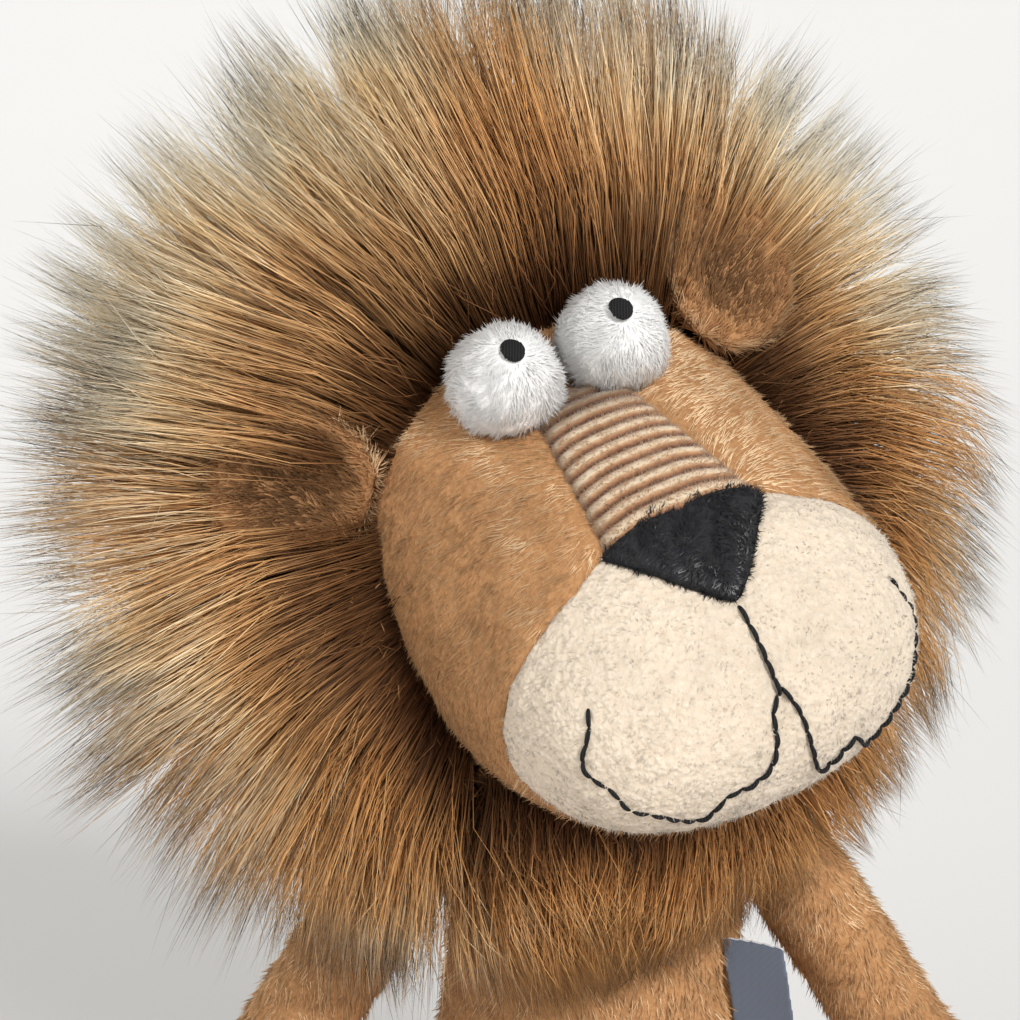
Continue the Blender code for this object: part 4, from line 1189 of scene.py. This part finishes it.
def mane_roots(tree, angle, depth):
    """Where each hair leaves the head: depth 0 is the hairline and 1 the back of the head."""
    places = np.empty((len(angle), 3))
    ways = np.empty_like(places)
    turn = HEAD_LEAN.to_matrix()
    for i, (a, s) in enumerate(zip(angle, depth)):
        lean = max(s - 0.42, 0) / 0.58 * math.pi / 2
        below = ((1 - math.cos(a)) / 2) ** 2
        behind = HAIRLINE - MANE_FORWARD * below + min(s / 0.42, 1) * (36 + MANE_FORWARD * below)
        out = Vector((math.sin(a) * math.cos(lean), math.sin(lean), math.cos(a) * math.cos(lean)))
        start = Vector((0, behind, 70 if abs(a - math.pi) > 0.9 else 60))
        hit, face, _, _ = tree.ray_cast(HEAD_STAND @ (start * MM), turn @ out)
        places[i] = hit
        ways[i] = face
    return to_head(places), unit(ways @ HEAD_TURN)


def torso_clear(places, room):
    """Pushes places out of the torso, in the scene's own frame."""
    own = places / MM
    half_width = np.interp(own[:, 2], TORSO_HEIGHTS, TORSO_HALF_WIDTHS) + room
    half_depth = np.interp(own[:, 2], TORSO_HEIGHTS, TORSO_HALF_DEPTHS) + room
    share = np.sqrt((own[:, 0] / half_width) ** 2 + (own[:, 1] / half_depth) ** 2)
    inside = (share < 1) & (own[:, 2] < TORSO_HEIGHTS[-1])
    grow = np.where(inside, 1 / np.maximum(share, 0.15), 1)
    own[:, 0] *= grow
    own[:, 1] *= grow
    return own * MM


def arm_clear(places, room):
    """Pushes places out of both arms."""
    own = places / MM
    level = math.cos(ARM_SPREAD)
    for sign in (1, -1):
        start = np.array((sign * SHOULDER[0], SHOULDER[1], SHOULDER[2]), float)
        way = np.array((
            sign * math.sin(ARM_SPREAD),
            -level * math.sin(ARM_FORWARD),
            -level * math.cos(ARM_FORWARD),
        ))
        along = np.clip((own - start) @ way, 0, ARM_LENGTH)
        axis = start + along[:, None] * way
        off = own - axis
        far = np.linalg.norm(off, axis=1)
        inside = far < room
        out = off / np.maximum(far, 0.5)[:, None]
        own = np.where(inside[:, None], axis + out * room, own)
    return own * MM


def nearest(places, leaders):
    tree = KDTree(len(leaders))
    for i, place in enumerate(leaders):
        tree.insert(place, i)
    tree.balance()
    return np.array([tree.find(place)[1] for place in places])


def ear_place(side):
    """An ear's angle from the top, and the depth at which hairs start behind it."""
    low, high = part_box("ear_front_" + side)
    middle = to_head([(low + high) / 2])[0]
    least = min(max((middle[1] + 11 - HAIRLINE) / 36 * 0.42, 0), 0.8)
    return math.atan2(middle[0], middle[2] - 70), least


def behind_ears(angle, depth, rng):
    """Moves the hairs that would grow in front of an ear to behind it."""
    for side, (first, last) in EAR_WINDOWS.items():
        at, least = ear_place(side)
        apart = np.degrees((angle - at + math.pi) % math.tau - math.pi)
        apart += rng.normal(size=len(angle)) * 2.5
        beside = (apart > first) & (apart < last)
        depth = np.where(beside, least + (1 - least) * depth, depth)
    return depth


def mane_lines(tree, rng, angle, depth, short):
    """Each hair's line of places in the head's own frame, with its reach and its lock's place."""
    count = len(angle)
    roots, facing = mane_roots(tree, angle, behind_ears(angle, depth, rng))
    turn = np.where(
        depth < 0.25,
        1.8 + 2.5 * rng.random(count) ** 0.6,
        3.6 + (depth - 0.25) / 0.75 * 7.4 + rng.uniform(-0.5, 0.5, count),
    )
    apart = (angle - np.radians(348) + math.pi) % math.tau - math.pi
    bent = angle + np.sign(apart) * np.radians(4) * np.exp(-np.abs(apart) / np.radians(8))
    below = angle - math.pi
    falling = np.exp(-((np.abs(below) - np.radians(62)) / np.radians(34)) ** 2)
    drop = np.where(depth < 0.35, 21, 10)
    bent = bent - np.sign(below) * falling * np.radians(drop)
    lean, lock = drift(roots, 26, 81), drift(roots, 11, 87)
    swirl = lean[:, 0] * 9 + lock[:, 0] * 4.5 + rng.normal(size=count) * 2.2
    bent = bent + np.radians(swirl)
    tips = mane_tip(bent, np.clip(turn, 0, len(MANE_OUTLINE) - 1))
    reach = rng.uniform(0.96, 1.12, count) * (1 + 0.04 * lean[:, 1])
    reach = np.where(rng.random(count) > 0.95, rng.uniform(1.10, 1.20, count), reach)
    reach = np.where(short, rng.uniform(0.50, 0.99, count), reach)
    curly = ~short & (rng.random(count) > 0.91)
    reach = np.where(curly, rng.uniform(0.2, 0.5, count), reach)
    reach *= 1 - 0.13 * np.exp(-(below / np.radians(34)) ** 2) * (depth < 0.3)
    tips = roots + (tips - roots) * reach[:, None]
    tips += lean * 5 + rng.normal(size=(count, 3)) * 2

    run = tips - roots
    length = np.linalg.norm(run, axis=1, keepdims=True)
    radial = np.stack((np.sin(angle), np.zeros(count), np.cos(angle)), axis=1)
    first = roots + unit(facing * 0.8 + radial * 0.5 - np.array((0, 0.25, 0))) * length * 0.33
    second = roots + run * 0.70 + radial * length * 0.05
    wild = np.where(curly | (rng.random(count) < 0.12), 3.0, 1.0)[:, None]
    first += rng.normal(size=(count, 3)) * 2.8 * wild + drift(roots, 15, 83) * 5
    second += rng.normal(size=(count, 3)) * 3.8 * wild + drift(roots, 12, 82) * 7.5
    tips += rng.normal(size=(count, 3)) * wild * 1.2
    t = HAIR_SHARES[None, :, None]
    lines = (
        roots[:, None] * (1 - t) ** 3 + first[:, None] * 3 * t * (1 - t) ** 2
        + second[:, None] * 3 * t ** 2 * (1 - t) + tips[:, None] * t ** 3
    )
    key = roots + run * 0.35
    loose = curly | (rng.random(count) > 0.86)
    for leaders, pull, power in ((4200, 0.42, 1.2), (520, 0.40, 1.5)):
        chosen = rng.choice(count, leaders, replace=False)
        lead = chosen[nearest(key, key[chosen])]
        strength = pull * rng.uniform(0.5, 1.25, count)[:, None, None]
        strength = np.where(loose[:, None, None], 0.08, strength)
        share = np.minimum(reach / np.maximum(reach[lead], 0.3), 1)[:, None, None]
        follow = roots[lead][:, None] + (lines[lead] - roots[lead][:, None]) * share
        lines = lines + (follow - lines) * strength * t ** power
    return lines, reach, key, falling


def mane(tree):
    rng = np.random.default_rng(80)
    angle, depth, owner, short = [], [], [], []
    names = list(MANE_PANELS)
    for k, name in enumerate(names):
        first, last, end, main, under = MANE_PANELS[name]
        count = main + under
        angle.append(np.radians(rng.uniform(first, last, count)))
        spread = rng.random(count) ** 1.3
        if end < 0:
            spread = spread * 0.30
        if end > 0:
            spread = 0.45 + rng.random(count) * 0.55
        depth.append(spread)
        owner.append(np.full(count, k))
        short.append(np.arange(count) >= main)
    whole = [(k, *MANE_PANELS[name][:2]) for k, name in enumerate(names) if MANE_PANELS[name][2] == 0]
    for side, (first, last) in EAR_WINDOWS.items():
        more = ear_place(side)[0] + np.radians(rng.uniform(first - 6, last + 12, EAR_HAIRS))
        more %= math.tau
        angle.append(more)
        depth.append(rng.uniform(0.05, 0.5, EAR_HAIRS))
        owner.append(np.array([k for a in np.degrees(more) for k, low, high in whole if low <= a < high]))
        short.append(np.zeros(EAR_HAIRS, bool))
    angle, depth, owner, short = (np.concatenate(p) for p in (angle, depth, owner, short))
    count = len(angle)
    lines, reach, key, falling = mane_lines(tree, rng, angle, depth, short)

    world = to_world(lines.reshape(-1, 3)).reshape(lines.shape)
    run = world[:, -1] - world[:, 0]
    level = np.linalg.norm(run[:, :2], axis=1)
    lower = (1 - np.cos(angle)) / 2
    sag = (0.03 + 0.15 * lower + 0.08 * falling) * level
    world[..., 2] -= sag[:, None] * HAIR_SHARES[None] ** 2
    flat = world.reshape(-1, 3)
    for _ in range(2):
        flat = torso_clear(flat, 3)
        flat = arm_clear(flat, ARM_ROOM)
    moved = flat.reshape(world.shape)
    moved[:, 0] = world[:, 0]
    world = moved

    own = to_head(world.reshape(-1, 3)).reshape(world.shape)
    keep = np.ones(count, bool)
    for side in ("left", "right"):
        low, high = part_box("ear_front_" + side)
        off = own - to_head([(low + high) / 2])[0]
        near = np.linalg.norm(off[..., (0, 2)], axis=2)
        ahead = (off[..., 1] < 3) & ((side == "left") | (off[..., 2] < 5))
        keep &= ~(ahead & (near < 15))[:, 0]
        push = np.clip((19 - near) / 4, 0, 1) * ahead * (7 - off[..., 1])
        own[:, 1:, 1] += push[:, 1:]
    world = to_world(own.reshape(-1, 3)).reshape(own.shape)
    for sign in (1, -1):
        centre = np.array((sign * EYE_PLACE[0], EYE_PLACE[1], EYE_PLACE[2]))
        off = own[:, 1:] - centre
        keep &= ~(np.linalg.norm(off, axis=2) < EYE_RADIUS + 2).any(axis=1)

    thick = rng.uniform(0.10, 0.18, count)
    taper = np.array([1.0, 1.1, 0.8, 0.0])
    radii = thick[:, None] * taper[None] * MM
    cream = np.interp(np.degrees(angle) % 360, MANE_CREAM_AND_LIGHT[:, 0], MANE_CREAM_AND_LIGHT[:, 1])
    tones = cream + drift(key, 14, 84)[:, 0] * 0.32 + rng.uniform(-0.2, 0.2, count)
    tones = np.clip(tones, 0.01, 0.99)
    along = np.clip(HAIR_SHARES[None] * reach[:, None] * 0.95, 0, 1)
    for axis in range(3):
        for sign, edge in ((1, cad_box[1][axis]), (-1, -cad_box[0][axis])):
            over = (world[..., axis] * sign - edge).max(axis=1) - MANE_PROUD * MM
            world[..., axis] -= sign * np.maximum(over, 0)[:, None] * HAIR_SHARES[None] ** 1.5
    for k, name in enumerate(names):
        batches = []
        for mine, knots in (
            (keep & (owner == k) & ~short, [0, 1, 2, 3]),
            (keep & (owner == k) & short, [0, 2, 3]),
        ):
            batches.append(rods(
                world[mine][:, knots], radii[mine][:, knots], tones[mine], along[mine][:, knots], rng
            ))
        dressed(strands(name + "_hair", *batches), MANE_FUR, "head", "mane_fur", name)
        # A dark shell about a third of the way out through the hair: painted shade of the mane's depth
        ground = stuffed_form(name + "_ground", [name], 6, 4)
        places = corners_of(ground)
        inner = np.array([tree.find_nearest(Vector(place))[0] for place in places])
        places = to_head(inner + (places - inner) * 0.36)
        places[:, 1] += np.clip(10 - places[:, 1] * 0.2, 0, 10)
        move_corners(ground, to_world(places))
        dressed(ground, MANE_DEPTH_SHADE, "head", "mane_fur", fill=0.5)
        down = pile(
            name + "_down", ground, 1500, 12, 0.7, lambda spots: spots - np.array(NECK_CENTRE),
            86 + k, lean=0.55, ruffle=0.6, tip=0.42,
        )
        dressed(down, MANE_FUR, "head", "mane_fur")


# Body and limbs


def downward(spots):
    ways = np.tile(WORLD_DOWN, (len(spots), 1))
    ways[:, 0] += spots[:, 0] * 3
    return ways


def torso():
    nodes = ["torso_front", "torso_back", "torso_filling", "pellet_bag"]
    form = stuffed_form("torso_cover", nodes, 2.8, 10)
    places, ways = corners_of(form), normals_of(form)
    own = places / MM
    crease = np.zeros(len(own))
    ahead = own[:, 1] < 0
    stray = drift(own, 30, 94)[:, 1] * 6
    for foot, slope, depth in ((64, 1.0, 1.1), (96, 0.6, 0.9), (38, 1.3, 0.6)):
        off = own[:, 2] - foot - np.abs(own[:, 0] - 4) * slope + stray
        crease -= np.where(ahead, depth * np.exp(-(off / 4.2) ** 2), 0)
        crease += np.where(ahead, 0.7 * depth * np.exp(-((off - 8) / 5) ** 2), 0)
    crease -= 1.4 * np.exp(-(own[:, 1] / 2.0) ** 2) * (np.abs(own[:, 0]) > 20)
    crease += drift(own, 22, 90)[:, 0] * 0.8
    crease[own[:, 2] < 4] = 0
    move_corners(form, places + ways * (crease * MM)[:, None])
    dressed(
        form, TAN_GROUND, "torso", "tan_plush",
        "torso_front", "torso_back", "torso_filling", "pellet_bag", fill=0.8,
    )
    for part, keep in (
        ("front", lambda spots: (spots[:, 1] < 0) & (spots[:, 2] > 1.5 * MM)),
        ("back", lambda spots: (spots[:, 1] >= 0) & (spots[:, 2] > 1.5 * MM)),
    ):
        nap = pile(
            "torso_pile_" + part, form, 12000, 4.2, 0.56, downward, 91 + (part == "back"),
            lean=0.7, ruffle=0.28, wanted=keep,
        )
        dressed(nap, TAN_PILE, "torso", "tan_plush")
    seat = stuffed_form("seat_cover", ["seat_panel"], 1.2, 2)
    dressed(seat, TAN_GROUND, "torso", "tan_plush", "seat_panel")


def neck():
    form = stuffed_form("neck_ball", ["neck_cover", "neck_filling"], 2, 6)
    dressed(form, TAN_GROUND, "neck", "tan_plush", "neck_cover", "neck_filling", fill=0.9)


def limb(name, body, count, seed, comb):
    nodes = [name + "_cover", name + "_filling"]
    form = stuffed_form(name + "_form", nodes, 2.3, 10)
    places, ways = corners_of(form), normals_of(form)
    lump = drift(places / MM, 15, seed)[:, 0] * 0.7
    lump[places[:, 2] < 3 * MM] = 0
    move_corners(form, places + ways * (lump * MM)[:, None])
    dressed(form, TAN_GROUND, body, "tan_plush", *nodes, fill=0.8)
    nap = pile(
        name + "_pile", form, count, 4.0, 0.44, comb, seed + 1, lean=0.72, ruffle=0.26,
        wanted=lambda spots: spots[:, 2] > 1.5 * MM,
    )
    dressed(nap, TAN_PILE, body, "tan_plush")
    return form


def toward_feet(spots):
    ways = np.zeros((len(spots), 3))
    ways[:, 1] = -1
    ways[:, 0] = np.sign(spots[:, 0]) * 0.3
    ways[spots[:, 1] < -165 * MM, 2] = 0.9
    return ways


def legs():
    for side in ("left", "right"):
        limb("leg_" + side, "leg_" + side, 10500, 110 + len(side), toward_feet)
        sole = stuffed_form("sole_cover_" + side, ["sole_" + side], 1.2, 3)
        places, ways = corners_of(sole), normals_of(sole)
        move_corners(sole, places + ways * 0.8 * MM)
        dressed(sole, CREAM_TERRY, "leg_" + side, "cream_terry", "sole_" + side)
        fuzz = pile(
            "sole_fuzz_" + side, sole, 3000, 1.6, 0.44, lambda spots: drift(spots, 3 * MM, 121),
            122, lean=0.35, ruffle=0.6,
        )
        dressed(fuzz, CREAM_PILE, "leg_" + side, "cream_terry")


def tail():
    form = stuffed_form("tail_form", ["tail_cover", "tail_filling"], 1.4, 8)
    dressed(form, TAN_GROUND, "tail", "tan_plush", "tail_cover", "tail_filling", fill=0.8)
    low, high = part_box("tail_tuft")

    def outward(spots):
        ways = np.zeros((len(spots), 3))
        ways[:, 0] = 1
        return ways

    nap = pile("tail_pile", form, 5000, 3.8, 0.56, outward, 130, lean=0.7, ruffle=0.28)
    dressed(nap, TAN_PILE, "tail", "tan_plush")
    # A dark shell under the tuft's hair: painted shade of its depth
    tuft = stuffed_form("tuft_ground", ["tail_tuft"], 2, 4)
    places, ways = corners_of(tuft), normals_of(tuft)
    places = places - ways * 5 * MM
    places[:, 2] = np.maximum(places[:, 2], 0.5 * MM)
    move_corners(tuft, places)
    rng = np.random.default_rng(133)
    count = 2100
    roots, up = scatter(tuft, count, rng)
    way = np.array((0.86, -0.5, 0.0))
    reach = rng.uniform(14, 24, count)[:, None] * MM
    shares = HAIR_SHARES[None, :, None]
    bend = unit(up * 0.7 + way * 0.9 + drift(roots, 9 * MM, 134) * 0.3)
    lines = roots[:, None] + bend[:, None] * reach[:, None] * shares
    lines = lines + (way - up * 0.35)[:, None] * reach[:, None] * 0.45 * shares ** 2
    lines[..., 2] = np.maximum(lines[..., 2], 0.5 * MM)
    lines = np.clip(lines, np.array(low) - 9 * MM, np.array(high) + 9 * MM)
    radii = rng.uniform(0.16, 0.26, count)[:, None] * np.array([1, 1.1, 0.8, 0])[None] * MM
    along = np.tile(HAIR_SHARES, (count, 1))
    hair = strands("tail_tuft_hair", rods(lines, radii, rng.random(count), along, rng))
    dressed(hair, MANE_FUR, "tail", "mane_fur", "tail_tuft")
    dressed(tuft, MANE_DEPTH_SHADE, "tail", "mane_fur")


def label():
    """The blank folded ribbon in the side seam, its two layers a little curled."""
    for name, ribbon, slot in (
        ("label_front", GREY_RIBBON, "grey_ribbon"),
        ("label_back", WHITE_RIBBON, "white_ribbon"),
    ):
        form = copy_of(name + "_ribbon", name)
        shaped(form, "REMESH", mode="VOXEL", voxel_size=0.6 * MM)
        low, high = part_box(name)
        places = corners_of(form)
        share = (places[:, 0] - low.x) / (high.x - low.x)
        rise = (places[:, 2] - low.z) / (high.z - low.z) - 0.5
        places[:, 1] -= (share ** 2 * 2.2 + np.sin(rise * 5) * share * 0.8) * MM
        places[:, 2] -= share ** 1.4 * 6 * MM
        move_corners(form, places)
        form.data.shade_smooth()
        dressed(form, ribbon, "torso", slot, name)


# Stage


def stage():
    bpy.ops.mesh.primitive_grid_add(x_subdivisions=64, y_subdivisions=64, size=7)
    floor = bpy.context.object
    places = corners_of(floor)
    far = np.linalg.norm(places[:, :2], axis=1)
    places[:, 2] = 0.15 * np.clip(far - 1.1, 0, 2.2) ** 2
    move_corners(floor, places)
    floor.data.shade_smooth()
    floor.name = "studio_floor"
    material, tree, shader = cloth("studio_floor", Roughness=0.8)
    shade = noise(tree, 400, 2)
    colour = ramp(tree, shade, [(0.3, (0.755, 0.748, 0.735)), (0.7, (0.765, 0.758, 0.745))])
    join(tree, colour, shader.inputs["Base Color"])
    floor.data.materials.append(material)

    world = bpy.data.worlds.new("studio")
    bpy.context.scene.world = world
    world.use_nodes = True
    sky = world.node_tree
    back = sky.nodes["Background"]
    back.inputs["Color"].default_value = (0.84, 0.83, 0.81, 1)
    rays = sky.nodes.new("ShaderNodeLightPath")
    seen = math_node(sky, "MAXIMUM", rays.outputs["Is Camera Ray"], rays.outputs["Is Glossy Ray"])
    seen = math_node(sky, "MAXIMUM", seen, rays.outputs["Is Transmission Ray"])
    join(sky, math_node(sky, "ADD", math_node(sky, "MULTIPLY", seen, 0.55), 0.45), back.inputs["Strength"])

    for name, place, spread, power in (
        ("key_light", (1.1, -1.7, 1.25), 22, 2.3),
        ("fill_light", (-1.9, -1.5, 0.9), 60, 0.8),
        ("back_light", (-0.7, 1.6, 1.3), 30, 1.1),
    ):
        lamp = bpy.data.lights.new(name, "SUN")
        lamp.angle = math.radians(spread)
        lamp.energy = power
        holder = bpy.data.objects.new(name, lamp)
        holder.location = place
        holder.rotation_euler = (-Vector(place)).to_track_quat("-Z", "Y").to_euler()
        bpy.context.scene.collection.objects.link(holder)

    view = bpy.data.cameras.new("camera")
    view.sensor_width = 36
    view.lens = 81.46
    view.clip_start = 0.05
    camera = bpy.data.objects.new("camera", view)
    camera.location = (-0.0251, -0.6399, 0.3791)
    camera.rotation_euler = (math.radians(78), 0, 0)
    bpy.context.scene.collection.objects.link(camera)
    bpy.context.scene.camera = camera
    bpy.context.scene.view_settings.view_transform = "Standard"


skin, skin_tree = head()
nose_bridge(skin_tree)
stitched("nose_stitches", skin_tree, CENTRE_THREAD, 1, "centre_thread")
stitched("smile_left", skin_tree, MOUTH_START["left"] + MOUTH_THREAD, 1, "mouth_thread_left")
stitched(
    "smile_right", skin_tree, MOUTH_START["right"] + MOUTH_THREAD, -1, "mouth_thread_right", (0.28, 0.76)
)
for side_name, side_sign in (("left", 1), ("right", -1)):
    eye(side_name, side_sign)
    ear(side_name, side_sign)
mane(skin_tree)
torso()
neck()
limb("arm_left", "arm_left", 11500, 100, downward)
limb("arm_right", "arm_right", 11500, 103, downward)
legs()
tail()
label()
bpy.data.objects.remove(skin)
stage()
